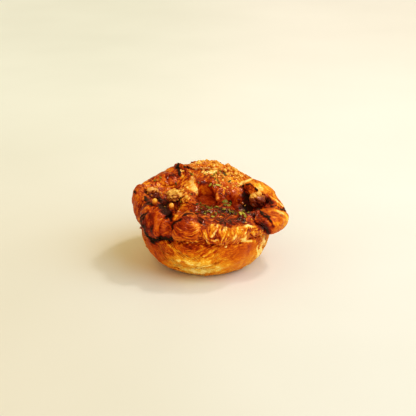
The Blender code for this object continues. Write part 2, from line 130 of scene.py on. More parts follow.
def lumps(points: np.ndarray, size: float, seed: int, waves: int = 9) -> np.ndarray:
    """Smooth bumps about size long, from -1 to 1, the same for the same seed."""
    draw = np.random.default_rng(seed)
    total = np.zeros(len(points))
    for _ in range(waves):
        direction = draw.normal(size=3)
        direction *= math.tau / size * draw.uniform(0.7, 1.3) / np.linalg.norm(direction)
        total += np.sin(points @ direction + draw.uniform(0.0, math.tau))
    return total / math.sqrt(waves * 2.0)


class Grain:
    """Seeded smooth noise in space, for crags, blisters and broken lines."""

    def __init__(self, seed: int) -> None:
        """Draws the lattice.

        Args:
            seed: what the draws start from.
        """
        draw = np.random.default_rng(seed)
        self.order = draw.permutation(512)
        self.slopes = unit(draw.normal(size=(512, 3)))

    def at(self, points: np.ndarray, size: float) -> np.ndarray:
        """Noise at each point, about -1 to 1, with bumps about size apart."""
        place = points / size + 71.3
        cell = np.floor(place).astype(int)
        part = place - cell
        blend = part**3 * (part * (part * 6.0 - 15.0) + 10.0)
        total = np.zeros(len(points))
        for corner in np.ndindex(2, 2, 2):
            x, y, z = (cell + corner).T
            slope = self.slopes[self.order[(self.order[(self.order[x % 512] + y) % 512] + z) % 512]]
            weight = np.prod(np.where(np.array(corner) == 1, blend, 1.0 - blend), axis=1)
            total += weight * np.einsum("ij,ij->i", part - corner, slope)
        return total * 1.7

    def rough(self, points: np.ndarray, size: float, octaves: int = 3) -> np.ndarray:
        """Noise with finer noise on it."""
        return sum(self.at(points, size / 2.1**step) / 1.8**step for step in range(octaves))

    def crests(self, points: np.ndarray, size: float, octaves: int = 3) -> np.ndarray:
        """Sharp winding crests: 1 on a crest, towards 0 between."""
        waves = [1.0 - 2.2 * np.abs(self.at(points, size / 2.1**step)) for step in range(octaves)]
        return sum(wave / 2.2**step for step, wave in enumerate(waves)) / 1.7


GRAIN = Grain(3)
FINE_GRAIN = Grain(8)


@dataclass(frozen=True)
class DoughSkin:
    """The skin of the dough without its folds, the form that the solid has too."""

    base_radius: float = 26.0
    cup_radius: float = 44.5
    cup_height: float = 28.5
    cup_centre: tuple[float, float] = (-2.1, -0.3)
    crown_radius: float = 46.0
    crown_widest: float = 8.0
    crest_radius: float = 33.0
    crest_height: float = 47.5
    crest_tilt: float = 6.0
    tilt_azimuth: float = 130.0
    crease_depth: float = 2.0
    trough_drop: float = 1.5
    crater_centre: tuple[float, float] = (-2.1, 1.2)
    crater_half_width: float = 6.6
    crater_half_length: float = 11.5
    crater_floor: float = 32.0
    filling_level: float = 41.5
    rim_width: float = 6.5
    last: float = 17.0
    crest_swells: tuple = (
        Swell(85, 30, 3.4), Swell(70, 12, 1.0), Swell(124, 8, 1.6),
        Swell(152, 16, -1.6), Swell(352, 26, -3.4), Swell(180, 20, -1.2),
    )
    outward: tuple = (Swell(182, 22, 1.0), Swell(352, 22, 7.4), Swell(222, 12, 0.6), Swell(120, 20, 0.8))
    crest_outward: tuple = (Swell(181, 30, 9.0), Swell(6, 32, 8.5), Swell(90, 25, 1.5))
    troughs: tuple = (Swell(188, 30, 6.5), Swell(2, 26, 4.5), Swell(225, 12, 3.0))
    ridges: tuple = (Swell(180, 40, 0.6), Swell(0, 35, 4.5), Swell(270, 45, 3.0), Swell(90, 40, -1.2))
    lips: tuple = (Swell(288, 26, 1.6), Swell(180, 30, -1.0), Swell(345, 22, -1.2))
    cup_swells: tuple = (Swell(0, 50, -2.2), Swell(180, 45, -1.4))
    hollows: tuple = (
        Hollow(7, 12.15, 18, 0.66, 6, 5.2),
        Hollow(206, 12.0, 11, 0.55, 0, 4.0),
        Hollow(228, 11.0, 6, 1.0, -25, 3.0),
        Hollow(236, 9.6, 3.5, 1.4, 0, 2.0),
        Hollow(294, 11.2, 7, 0.3, 0, 1.6),
    )

    def crater_radius(self, azimuth: np.ndarray) -> np.ndarray:
        """Distance from the crater's middle to its edge."""
        turn = np.radians(azimuth)
        return 1.0 / np.hypot(np.cos(turn) / self.crater_half_width, np.sin(turn) / self.crater_half_length)

    def stations(self, azimuth: np.ndarray) -> tuple:
        """Radius and height of the stations, from the middle of the base to the crater's floor."""
        tilt = self.crest_tilt * np.cos(np.radians(azimuth - self.tilt_azimuth))
        crest = self.crest_height + tilt + swell_sum(azimuth, self.crest_swells)
        crest_out = self.crest_radius + swell_sum(azimuth, self.crest_outward)
        crown = self.crown_radius + swell_sum(azimuth, self.outward)
        lip = self.cup_height + swell_sum(azimuth, self.lips)
        edge = self.crater_radius(azimuth)
        ridge = edge + self.rim_width
        ridge_height = crest - 2.0 + swell_sum(azimuth, self.ridges)
        trough = 0.5 * (crest_out + ridge)
        cup = self.cup_radius + swell_sum(azimuth, self.cup_swells)
        return (
            (0.0, 0.0),
            (0.6 * self.base_radius, 0.0),
            (self.base_radius, 0.0),
            (self.base_radius + 0.48 * (cup - self.base_radius), 4.6),
            (cup - 2.2, 12.5),
            (cup, 20.5),
            (cup - 0.3, lip - 2.5),
            (cup - self.crease_depth, lip),
            (crown - 2.6, lip + 1.2),
            (crown, lip + self.crown_widest),
            (0.45 * crown + 0.55 * crest_out + 2.5, crest - 2.6),
            (crest_out, crest),
            (trough, crest - self.trough_drop - swell_sum(azimuth, self.troughs)),
            (ridge, ridge_height),
            (edge, ridge_height - 1.8),
            (0.92 * edge, self.filling_level),
            (0.80 * edge, self.crater_floor + 2.0),
            (0.0, self.crater_floor),
        )

    def point(self, azimuth: np.ndarray, station: np.ndarray) -> np.ndarray:
        """Points of the skin.

        Args:
            azimuth: degrees round the middle.
            station: 0 at the middle of the base to last at the middle of the crater's floor.

        Returns:
            One row of X, Y and Z for each pair.
        """
        keys = self.stations(azimuth)
        radii = np.stack([key[0] + 0.0 * azimuth for key in keys])
        heights = np.stack([key[1] + 0.0 * azimuth for key in keys])
        whole = np.clip(np.floor(station), 0, self.last - 1).astype(int)
        part = station - whole
        column = np.arange(len(azimuth))
        weights = (
            0.5 * (-part + 2 * part**2 - part**3),
            0.5 * (2 - 5 * part**2 + 3 * part**3),
            0.5 * (part + 4 * part**2 - 3 * part**3),
            0.5 * (part**3 - part**2),
        )
        radius, height = np.zeros(len(azimuth)), np.zeros(len(azimuth))
        for offset, weight in zip((-1, 0, 1, 2), weights):
            row = np.clip(whole + offset, 0, int(self.last))
            radius += weight * radii[row, column]
            height += weight * heights[row, column]
        shift = np.clip((station - 10.0) / 4.0, 0.0, 1.0)
        turn = np.radians(azimuth)
        middle = [c + shift * (e - c) for c, e in zip(self.cup_centre, self.crater_centre)]
        radius = np.maximum(radius, 0.0)
        x, y = middle[0] + radius * np.cos(turn), middle[1] + radius * np.sin(turn)
        return np.column_stack([x, y, np.maximum(height, 0.0)])

    def normal(self, azimuth: np.ndarray, station: np.ndarray) -> np.ndarray:
        """Unit normals of the skin, out of the dough."""
        along = self.point(azimuth + 0.5, station) - self.point(azimuth - 0.5, station)
        low = np.maximum(station - 0.04, 0.0)
        high = np.minimum(station + 0.04, self.last)
        return unit(np.cross(along, self.point(azimuth, high) - self.point(azimuth, low)))

    def hollow_depth(self, azimuth: np.ndarray, station: np.ndarray) -> np.ndarray:
        """How deep the hollows dent the skin."""
        depth = np.zeros_like(azimuth)
        for hollow in self.hollows:
            arc = turn_from(hollow.azimuth, azimuth) / hollow.half_arc
            run = (station - hollow.station) / hollow.half_run
            skew = math.radians(hollow.turn)
            along = arc * math.cos(skew) + run * math.sin(skew)
            beside = run * math.cos(skew) - arc * math.sin(skew)
            depth += hollow.depth * np.exp(-((along**2 + beside**2) ** 1.6))
        return depth

    def unevenness(self, azimuth: np.ndarray, station: np.ndarray) -> np.ndarray:
        """Height of the large lumps less the hollows, as the solid has them."""
        points = self.point(azimuth, station)
        outer = np.clip(station - 2.0, 0.0, 1.0) * np.clip(14.0 - station, 0.0, 1.0)
        rough = 0.5 * lumps(points, 22.0, 1) + 0.35 * lumps(points, 9.0, 2)
        return rough * outer - self.hollow_depth(azimuth, station)

    def even(self, share: np.ndarray, low: float, high: float) -> np.ndarray:
        """Stations from low to high at even steps of length along the profile, for 0 to 1."""
        fine = np.linspace(low, high, 600)
        length = np.zeros(len(fine))
        for azimuth in range(0, 360, 30):
            line = self.point(np.full(len(fine), float(azimuth)), fine)
            length[1:] += np.linalg.norm(np.diff(line, axis=0), axis=1)
        length = np.cumsum(length)
        return np.interp(share, length / length[-1], fine)


SKIN = DoughSkin()


class Ribs(NamedTuple):
    """Ridges of dough layers in a fold's form: how many, how high, their turn and their bow."""

    count: float
    height: float
    turn: float
    bow: float


@dataclass(frozen=True)
class Layers:
    """Fine lines of dough layers: millimetres apart, their turn, bow and wander, relief and contrast.

    With a centre, the lines are arcs round that place, in millimetres from the fold's middle.
    """

    spacing: float = 1.7
    turn: float = 0.0
    bow: float = 0.0
    wander: float = 1.2
    relief: float = 0.16
    contrast: float = 0.6
    centre: Optional[tuple[float, float]] = None

    def count(self, side: np.ndarray, rise: np.ndarray, points: np.ndarray) -> np.ndarray:
        """Number of lines passed at each point.

        Args:
            side: millimetres along the azimuth from the middle.
            rise: millimetres up the skin from the middle.
            points: the points, which the lines wander with.
        """
        if self.centre:
            passed = np.hypot(side - self.centre[0], rise - self.centre[1])
        else:
            turn = math.radians(self.turn)
            along = side * math.cos(turn) + rise * math.sin(turn)
            passed = rise * math.cos(turn) - side * math.sin(turn) + self.bow * along**2
        passed = passed + self.wander * lumps(points, 11.0, 31, 7) + 0.55 * GRAIN.rough(points, 4.2, 2)
        return passed / self.spacing


@dataclass(frozen=True)
class Fold:
    """A thick flap of dough that lies on the skin, in the form that the solid has too.

    azimuth and station place its middle, half_arc (degrees) and half_run (stations) give its
    size, and turn skews it. It domes by rise, and its edge stands up by lip on the side that
    open_side points to (0 along the azimuth, 90 up the wall and over the crest). brown, glaze,
    flake and char say how it is baked.
    """

    name: str
    azimuth: float
    station: float
    half_arc: float
    half_run: float
    turn: float
    rise: float
    lip: float
    open_side: float
    ribs: Ribs = Ribs(0.0, 0.0, 0.0, 0.0)
    layers: Layers = Layers()
    brown: float = 0.5
    glaze: float = 0.35
    flake: float = 0.3
    char: float = 0.0
    crag: float = 0.25
    mottle: float = 0.8

    def place(self, across: np.ndarray, up: np.ndarray) -> tuple[np.ndarray, np.ndarray, np.ndarray]:
        """Azimuths, stations and headings of the fold's points, for across and up from -1 to 1."""
        side = across * np.sqrt(1.0 - 0.42 * up**2)
        rise = up * np.sqrt(1.0 - 0.42 * across**2)
        heading = np.arctan2(rise, side)
        ragged = 1.0 + 0.07 * np.sin(3.0 * heading + self.azimuth) + 0.04 * np.sin(5.0 * heading)
        ragged = ragged + 0.012 * np.sin(11.0 * heading + self.station) + 0.01 * np.sin(17.0 * heading)
        skew = math.radians(self.turn)
        azimuth = self.azimuth + self.half_arc * ragged * (side * math.cos(skew) - rise * math.sin(skew))
        station = self.station + self.half_run * ragged * (side * math.sin(skew) + rise * math.cos(skew))
        return azimuth, station, heading

    def half_size(self) -> tuple[float, float]:
        """Half the fold's width and length on the skin, in millimetres."""
        where = np.array([self.azimuth, self.azimuth + 1.0, self.azimuth])
        level = np.array([self.station, self.station, self.station + 0.1])
        middle, beside, above = SKIN.point(where, level)
        width = self.half_arc * np.linalg.norm(beside - middle)
        length = self.half_run * 10.0 * np.linalg.norm(above - middle)
        return float(width), float(length)

    def height(self, across: np.ndarray, up: np.ndarray, heading: np.ndarray) -> np.ndarray:
        """Height of the upper skin over the dough."""
        reach = np.maximum(np.abs(across), np.abs(up))
        share = 0.5 + 0.5 * np.cos(heading - math.radians(self.open_side))
        edge = self.lip * share - 0.9 * (1.0 - share)
        turn = math.radians(self.ribs.turn)
        along = across * math.cos(turn) + up * math.sin(turn)
        beside = up * math.cos(turn) - across * math.sin(turn)
        ribs = self.ribs.height * np.cos(math.tau * self.ribs.count * (along + self.ribs.bow * beside**2))
        return edge + self.rise * (1.0 - reach**3) + ribs * (1.0 - reach**4)


FOLDS = (
    Fold("shell", 254, 9.6, 12.5, 1.7, -6, 3.2, 0.4, 150, Ribs(2.0, 0.12, 80, -0.45),
         Layers(1.3, wander=0.4, relief=0.3, contrast=1.0, centre=(-1.5, 8.5)),
         brown=0.47, glaze=0.35, crag=0.1, mottle=0.4),
    Fold("front_band", 288, 9.2, 22.0, 1.7, 2, 1.8, 1.8, 270, Ribs(2.5, 0.45, 20, 0.1),
         Layers(1.5, turn=66, bow=0.012, wander=1.0, relief=0.3, contrast=0.6),
         brown=0.52, glaze=0.5, flake=0.2),
    Fold("right_lobe", 338, 9.5, 19.0, 1.75, 4, 3.2, 1.2, 200,
         layers=Layers(2.4, turn=-20, relief=0.08, contrast=0.3),
         brown=0.50, glaze=0.05, flake=0.38, crag=0.22, mottle=0.6),
    Fold("right_roll", 17, 10.1, 24.0, 1.25, -6, 2.0, 1.2, 90,
         layers=Layers(2.0, turn=5, relief=0.12, contrast=0.4), brown=0.45, glaze=0.1, crag=0.18, mottle=0.7),
    Fold("back_right", 56, 9.7, 17.0, 1.7, 4, 1.8, 1.2, 270,
         layers=Layers(1.8, turn=12, relief=0.18, contrast=0.6), brown=0.38, glaze=0.2),
    Fold("back_crust", 88, 10.7, 24.0, 1.25, 0, 1.4, 1.2, 90,
         layers=Layers(2.2, turn=-8, relief=0.15, contrast=0.4),
         brown=0.51, glaze=0.2, flake=0.45, crag=0.35),
    Fold("back_low", 100, 9.1, 22.0, 1.2, -4, 1.8, 1.4, 270,
         layers=Layers(1.6, turn=8, bow=0.01, relief=0.22, contrast=0.8), brown=0.5, glaze=0.2),
    Fold("left_dome", 146, 11.0, 12.0, 1.0, 0, 1.9, 0.4, 90,
         layers=Layers(2.6, turn=30, relief=0.07, contrast=0.3),
         brown=0.66, glaze=0.5, flake=0.05, crag=0.14, mottle=0.8),
    Fold("back_left", 144, 9.2, 19.0, 1.4, 5, 1.8, 1.2, 270,
         layers=Layers(1.7, turn=-10, relief=0.2, contrast=0.7), brown=0.5, glaze=0.2),
    Fold("left_lobe", 184, 9.5, 18.0, 1.52, 0, 2.1, 0.2, 90,
         layers=Layers(1.4, turn=82, wander=1.0, relief=0.14, contrast=0.55),
         brown=0.62, glaze=0.1, crag=0.34, mottle=0.7),
    Fold("front_left_flap", 219, 9.8, 13.0, 1.9, 6, 2.8, 1.6, 270,
         layers=Layers(3.0, turn=84, wander=1.0, relief=0.35, contrast=0.4),
         brown=0.67, glaze=0.6, crag=0.24, mottle=0.8),
    Fold("pocket_hood", 24, 11.0, 17.0, 0.62, 14, 1.6, 3.2, 90,
         layers=Layers(1.6, turn=6, relief=0.12, contrast=0.4), brown=0.48, glaze=0.2, crag=0.15),
    Fold("burnt_flap", 215, 7.0, 15.0, 1.1, -14, 0.6, 1.5, 270,
         layers=Layers(2.2, turn=60, relief=0.3, contrast=0.4),
         brown=0.8, glaze=0.1, flake=0.0, char=0.75, crag=0.45),
    Fold("burnt_tip", 122, 11.0, 3.4, 0.8, 0, 2.4, 0.4, 90,
         layers=Layers(1.2, turn=70, relief=0.2, contrast=0.3),
         brown=0.66, glaze=0.1, flake=0.2, char=0.2, crag=0.2),
    Fold("crater_blister", 160, 13.7, 20.0, 0.32, 0, 1.4, 0.5, 90,
         layers=Layers(2.5, contrast=0.1, relief=0.03),
         brown=0.27, glaze=0.7, flake=0.3, crag=0.08, mottle=0.6),
    Fold("crater_flap", 15, 13.6, 24.0, 0.36, 0, 1.3, 0.8, 90,
         layers=Layers(1.4, turn=75, relief=0.12, contrast=0.4),
         brown=0.62, glaze=0.5, flake=0.1, crag=0.2, mottle=0.7),
)


# ---------------------------------------------------------------- the picture's view


@dataclass(frozen=True)
class PictureView:
    """The camera's place in millimetres, and rays through the places where details show.

    elevation is in degrees and width in pixels; reach is how far its rays go, in metres.
    """

    target: tuple[float, float, float] = (-0.93, -0.8, 37.0)
    elevation: float = 21.5
    distance: float = 657.0
    lens: float = 85.0
    sensor: float = 36.0
    width: float = 416.0
    reach: float = 2.0

    def forward(self) -> Vector:
        """Direction the camera looks in."""
        turn = math.radians(self.elevation)
        return Vector((0.0, math.cos(turn), -math.sin(turn)))

    def place(self) -> Vector:
        """Where the camera stands."""
        return Vector(self.target) - self.forward() * self.distance

    def ray(self, across: float, down: float) -> Vector:
        """Direction through a place in the picture, counted in pixels from its top left corner."""
        right = Vector((1.0, 0.0, 0.0))
        up = right.cross(self.forward())
        step = self.sensor / (self.lens * self.width)
        half = 0.5 * self.width
        return (self.forward() + right * (across - half) * step + up * (half - down) * step).normalized()


VIEW = PictureView()


class Mark(Enum):
    """What a stroke leaves on the crust: change of brown, glaze, flake and char. Some marks paint shade into
    cavities and creases, and some partly paint highlights.
    """

    CHAR = (0.3, -0.2, -0.5, 1.0)
    ASH = (0.2, -0.3, -0.4, 0.8)
    HOLE_SHADE = (0.5, -0.7, -0.6, 0.3)
    SHADE = (0.26, 0.0, -0.5, 0.0)
    RED = (0.2, 0.5, -0.5, 0.0)
    SMOOTH = (0.0, 0.45, -0.3, 0.0)
    ORANGE = (-0.12, 0.1, -0.2, 0.0)
    GOLD = (-0.24, 0.0, 0.3, 0.0)
    PALE_AND_GLINT = (-0.34, 0.1, 0.7, 0.0)
    CREAM_AND_GLINT = (-0.44, 0.1, 1.0, 0.0)


def pairs(numbers: tuple) -> tuple:
    """The places in a row of numbers, each place two of them."""
    return tuple(zip(numbers[::2], numbers[1::2]))


class Stroke(NamedTuple):
    """A mark along a line on the dough: width and height in millimetres, places as they show."""

    mark: Mark
    width: float
    strength: float
    height: float
    line: tuple


# Each mark's strokes from left to right: width, strength and height, then the places of the line.
STROKE_ROWS = {
    # Burnt edges.
    Mark.CHAR: (
        (0.5, 0.6, 0, 133.6, 191, 136, 193), (0.5, 1, 0.15, 133.8, 191.2, 136.4, 193),
        (0.65, 1, 0.3, 141.6, 216.8, 144.6, 214.4, 148, 213.4), (1.2, 0.75, 0.4, 144, 227, 149, 235),
        (0.5, 0.7, 0, 145.2, 197.6, 146, 201), (0.5, 0.7, 0, 145.4, 190.4, 147.6, 193),
        (0.6, 1, 0.2, 145.4, 190.6, 147.4, 192.8), (0.6, 1, 0.2, 145.4, 197.6, 146.2, 200),
        (1.5, 0.9, 0.4, 147, 234, 153, 241, 160, 237, 168, 239, 173, 238),
        (0.9, 1, 0.35, 158, 236.6, 163, 236.4, 168, 239, 172, 238.2),
        (0.7, 1, 0.4, 178.5, 164.4, 177.4, 166.6, 176, 169),
        (0.6, 0.7, 0.2, 178.4, 165.5, 179, 170, 180, 175),
        (0.9, 1, 0.3, 178.4, 167, 178.6, 170, 179.8, 172.6, 179.6, 175.6),
        (0.55, 1, 0.2, 184.4, 167.4, 187, 167, 190.4, 168.4), (0.6, 0.6, 0, 184.5, 167.2, 190, 168),
        (0.45, 0.9, 0.2, 240.4, 187.6, 244, 185.4, 249.2, 184),
        (0.4, 0.9, 0.25, 249.4, 184, 252, 185.6, 255, 188.2, 257.4, 190.6, 259.8, 193),
        (0.6, 1, 0.3, 256, 189.6, 259, 192, 262, 194.8, 264, 197.4),
        (0.9, 0.8, 0.4, 256.8, 211.5, 261, 213, 264.8, 216.8, 268, 217.6),
        (0.6, 0.9, 0.35, 257, 211.4, 259.6, 212.6, 261.6, 215, 264.4, 217.2, 267.6, 217.6),
        (0.5, 0.8, 0.25, 266, 229.4, 268, 232, 269.6, 234), (0.5, 0.8, 0.3, 268, 218, 270, 221.5, 273, 226.7),
        (0.5, 1, 0.25, 268, 217.6, 270, 221.2, 273, 226.4),
        (0.35, 0.8, 0.2, 283.4, 208.6, 285.4, 210, 287, 211.8),
    ),
    # Burnt edges gone grey.
    Mark.ASH: (
        (0.8, 0.9, 0.35, 141.4, 220, 141.8, 223.6, 143, 228, 146, 232.6),
        (0.7, 1, 0.25, 143, 219.4, 144.6, 217), (2.4, 0.35, 0.2, 144, 219, 145, 226, 148, 232),
        (1.2, 1, 0.4, 147.6, 235, 150.6, 238.6, 153.6, 241), (2.2, 0.5, 0.2, 149, 236, 152, 240),
        (0.55, 1, 0.2, 261.6, 195, 263, 197.6, 264.2, 199.8),
        (0.7, 1, 0.3, 264.4, 213.6, 266.4, 214.6, 268, 216.6),
        (0.75, 1, 0.3, 272.4, 206.6, 275, 205.8, 277.8, 207.6, 281, 210, 284, 210.4),
        (1, 0.8, 0.3, 272.5, 206.3, 276, 206.5, 280, 209.5, 284, 210.3),
    ),
    # Painted shade: cavities and the deepest creases, dented and darkened to near black.
    Mark.HOLE_SHADE: (
        (1.6, 0.9, -0.8, 160.4, 204.4, 163, 208, 166, 212), (2.6, 1, -1.9, 163, 202, 166, 208, 168.6, 213),
        (1.2, 0.9, -1, 169, 214, 170.5, 219), (0.6, 0.8, -0.2, 172.8, 223, 172.2, 226, 172.8, 229),
        (0.9, 0.9, -0.4, 172.6, 229, 172.4, 225, 175.5, 222, 180, 219.5),
        (0.5, 0.8, -0.2, 175.6, 222.8, 177.6, 221, 180, 219.8),
        (0.8, 0.9, -0.3, 183, 215.6, 187, 213.3, 191.5, 213.2),
        (0.5, 0.8, -0.2, 183.4, 215, 186.6, 213.4, 190.4, 213, 193, 214.2),
        (2.3, 0.8, -0.3, 245, 196, 246.5, 203, 249, 209),
    ),
    # Painted shade in creases, and dark lines between layers.
    Mark.SHADE: (
        (1.1, 0.7, 0.2, 141.4, 216, 141.8, 221, 143.6, 226),
        (0.9, 1, -0.3, 147.5, 203, 152, 205.6, 157, 206.2, 161.4, 205), (2, 0.9, 0, 147.5, 200, 150, 203.5),
        (2.4, 1, 0, 149, 196, 154, 197.5, 160, 199), (1.6, 0.7, 0, 150.5, 181.6, 156, 182.6, 160, 184),
        (0.5, 0.9, -0.3, 176, 231.5, 181, 234.6, 188, 236.6, 194, 236, 199.5, 232.6),
        (0.5, 0.8, -0.3, 179, 235.4, 184, 238.6, 190, 240.2, 197, 240),
        (0.45, 0.7, -0.2, 179.6, 228.6, 184.5, 231, 190.5, 231.6, 195, 229.6),
        (2, 0.9, -0.2, 182, 218, 190, 218.5, 199, 220), (1.6, 0.7, 0, 188, 247, 197, 248.4, 206, 247.4),
        (1.2, 0.7, 0, 197, 243, 204, 244.6, 208, 246), (0.7, 0.9, -0.2, 201, 255.5, 207, 251.5, 212, 248),
        (0.8, 0.7, -0.2, 205, 258, 211, 254, 217, 251), (1, 0.9, -0.3, 211, 238.6, 215, 239.2, 219.5, 238.2),
        (0.8, 0.9, -0.4, 212.5, 244.6, 217, 243.6), (2.2, 1, -0.2, 230, 224, 236, 222.5, 243, 220.5),
        (1.4, 0.8, -0.2, 247, 230.6, 252, 229.6), (0.6, 0.6, -0.2, 258, 216, 261, 220, 262, 226),
        (1.1, 0.7, 0, 265, 228, 268.5, 233), (2.6, 0.7, -0.2, 268, 199, 271, 203, 268, 208),
        (1.8, 1, -0.3, 269, 198.6, 272, 202), (0.8, 0.8, -0.3, 283.6, 220.8, 284.6, 221.4),
    ),
    # Red glaze.
    Mark.RED: (
        (2.6, 0.5, 0, 139, 203, 143, 205), (1.8, 0.9, 0, 152, 212, 151.5, 220, 152, 231),
        (2.8, 1, 0, 168, 177, 174, 175.6), (2.6, 0.8, 0, 176, 226, 184, 225, 189, 227),
        (0.6, 0.8, -0.1, 186, 203, 189, 208, 192, 211), (2.4, 0.6, 0, 186, 173, 189, 177, 193, 180),
        (2, 0.8, 0, 198, 213, 203, 212), (1.5, 1, 0, 199, 184, 205, 182.4, 211, 183.6),
        (3.2, 0.85, 0, 200, 220, 212, 220.6, 226, 218.4), (2.8, 0.5, 0, 205, 210, 214, 212, 226, 211),
        (2.4, 0.5, 0.2, 221, 187, 224, 193, 222, 200), (2.6, 0.8, 0, 222, 222, 230, 221, 240, 219),
        (2.4, 0.9, 0, 224, 211, 238, 215, 250, 216), (2.4, 0.5, 1.2, 229, 210.5, 237, 213.5, 246, 214.5),
        (2.4, 0.4, 1.9, 238, 215.5, 244, 216.2, 250, 215.6, 256, 213.4),
        (2.2, 0.9, -0.1, 243.6, 190, 247, 188, 251, 188), (3.4, 1, -0.2, 255, 217, 260, 221, 266, 229),
        (1.8, 0.8, 0, 262, 222, 266, 228), (0.8, 1, 0, 274.5, 211.5, 278, 213.5, 281, 215.5),
    ),
    # Even, glazed panels.
    Mark.SMOOTH: (
        (4, 0.9, 0, 154, 219, 160, 222, 164, 230), (3, 0.8, 0, 158, 174, 166, 171, 172, 172),
        (4, 1, 0, 225, 185, 231, 188, 235, 195, 231, 202),
    ),
    # Orange panels and ridges.
    Mark.ORANGE: (
        (2.6, 0.9, 0, 140, 191, 142, 197, 141, 200),
        (0.96, 1, 0.45, 141.4, 212.8, 143.2, 210, 146.6, 208.6, 150.4, 209.6),
        (2, 0.6, 0, 147, 208.6, 151, 210, 155, 213), (1.3, 1.1, 0.4, 156.5, 220, 157.5, 228, 156, 234),
        (2.4, 0.7, 0, 161, 218, 167, 219.6), (3.4, 0.6, 0, 161.5, 219, 165, 222, 166.5, 228),
        (2.4, 0.8, 0, 163, 184.5, 170, 184.6, 175, 182),
        (1.6, 0.8, 0, 173, 212, 176, 217, 180, 213, 184, 209),
        (0.6, 1, 0.4, 178, 241, 182, 245.4, 188, 249.6), (3.4, 1.1, 0, 184, 205, 190, 209, 193, 203),
        (2.8, 0.9, 0, 184, 176, 185, 181, 186, 186), (0.43, 1, 0.22, 189, 252.6, 194, 251, 199, 250.6),
        # The next row makes the crater's back wall lighter: a painted highlight.
        (2.4, 1.3, 0, 200, 189.5, 204, 190.5, 209, 192.5),
        (3.2, 0.2, 0, 203, 213, 214, 214.4, 226, 213.6, 234, 215),
        (2.6, 0.5, 0, 207, 236, 211, 231, 216, 226), (2.6, 0.8, 0, 223, 178, 230, 178, 238, 180),
        (0.49, 1, 0.3, 228, 206.8, 231, 205.2, 234.6, 208), (2.4, 0.6, 0, 235, 196, 236.5, 202, 236, 206),
        (2.2, 0.9, 0, 236, 192, 240, 189.6), (3, 0.7, 0, 258, 184, 266, 189, 272, 194),
        (3, 0.5, 0, 275, 222, 280, 224, 285, 219),
    ),
    # Golden panels, ridges and layer edges.
    Mark.GOLD: (
        (1.4, 0.9, 0, 143, 187.6, 146, 185.6),
        (0.59, 1, 0.3, 165, 240, 167.6, 243.4, 171, 247.4, 174.6, 250, 179, 251.6, 184, 254),
        (3, 0.5, 0, 170, 266, 185, 270, 200, 271, 220, 269),
        (0.75, 1, 0.38, 172.6, 219, 175.4, 218.6, 178, 216.8),
        (1.8, 0.7, 0, 178, 258, 190, 262, 200, 264, 208, 263),
        (0.59, 1, 0.3, 181.4, 186, 182.4, 182, 183, 178.6), (2, 0.7, 0, 186, 182, 189, 187, 192, 192),
        (0.5, 1, 0.4, 186, 241, 189.6, 245, 195, 248.6), (0.43, 1, 0.22, 187, 242.6, 192, 243, 196, 241.8),
        (0.75, 1, 0.38, 190.6, 164.6, 195, 163, 199.6, 163),
        (0.4, 1, 0.3, 190.6, 240.6, 194.4, 244.6, 199, 247.8), (2, 0.5, 0, 192, 166, 200, 163.5, 212, 163),
        (2, 0.7, 0, 194, 223.4, 198, 226, 198, 231), (0.5, 1, 0.4, 195.6, 240.4, 199, 244, 203, 247.4),
        (0.49, 1, 0.22, 200.4, 250.4, 204, 248.6, 207.8, 246.6),
        # The next row is the crater's soft diagonal highlight, a painted highlight.
        (0.9, 0.35, 0.2, 201, 191, 204.4, 193.4, 207.6, 195.4),
        (0.49, 1, 0.3, 201, 217.8, 204.6, 216, 209.4, 217.6),
        (0.54, 1, 0.3, 203.6, 256.6, 208, 253.8, 212, 251.4, 216.4, 248.8),
        (0.7, 1, 0.45, 206.4, 240.2, 208, 242, 209.4, 244.2),
        (0.49, 1, 0.22, 206.6, 259, 209, 257.2, 212.6, 254.4),
        (0.75, 1, 0.6, 210.6, 227.6, 212, 225.6, 214.4, 224.4, 217, 225.4),
        (1.6, 0.7, 0.3, 212.5, 226, 213, 229), (0.49, 1, 0.3, 214.6, 219.6, 218, 221.6, 222, 221),
        # The first row here is the pale ridges right of the crater, partly a painted highlight.
        (1.2, 0.7, 0.2, 216.8, 186.5, 218, 192, 217.4, 198), (1.4, 0.9, 0.8, 218.5, 243.5, 221.5, 244),
        (0.54, 1, 0.38, 218.8, 225, 220.4, 226.6, 220.8, 229), (0.43, 1, 0.38, 219.6, 232.6, 220.2, 229.8),
        (0.43, 1, 0.38, 221.6, 240.6, 223.4, 237, 224.6, 234.6),
        (0.48, 1, 0.38, 224.4, 241.6, 226.4, 238.6, 228.4, 234.8),
        (0.65, 1, 0.45, 231.4, 229, 234.4, 228.6, 237.4, 228.6, 240.6, 227.2),
        (2.2, 0.7, 0.2, 233, 232, 240, 232, 246, 236), (2, 0.7, 0.2, 234, 238, 241, 239, 248, 239.6),
        (0.65, 1, 0.45, 238.4, 243.4, 241, 243.8, 243.4, 242.6),
        (2.4, 0.8, 0, 241, 182, 248, 180.5, 254, 184, 260, 189),
        (1.3, 0.9, 0.3, 245, 226.4, 249, 225.6, 253, 227), (2.6, 0.7, 0.2, 252, 228, 257, 231, 261, 235),
        (0.49, 1, 0.38, 253.4, 238, 253.8, 234, 252.8, 230.6),
        (0.59, 1, 0.38, 254.4, 186.4, 257, 189, 259.4, 191.6),
        (0.49, 1, 0.38, 256.6, 238, 257.4, 233.6, 256.6, 229), (2.2, 0.55, 0, 259, 186, 264, 190, 270, 195),
        (0.49, 1, 0.38, 260, 238, 260.8, 234.6, 259.8, 231),
        (0.59, 1, 0.38, 267.6, 237, 266.6, 240.6, 265.6, 243.4),
        (0.54, 1, 0.3, 278.6, 211.6, 281, 212.4, 283, 214.6), (3, 1.2, 0, 280, 212, 284, 214.4, 286, 219),
    ),
    # Pale crisp edges and flakes, and painted glints: small painted highlights.
    Mark.PALE_AND_GLINT: (
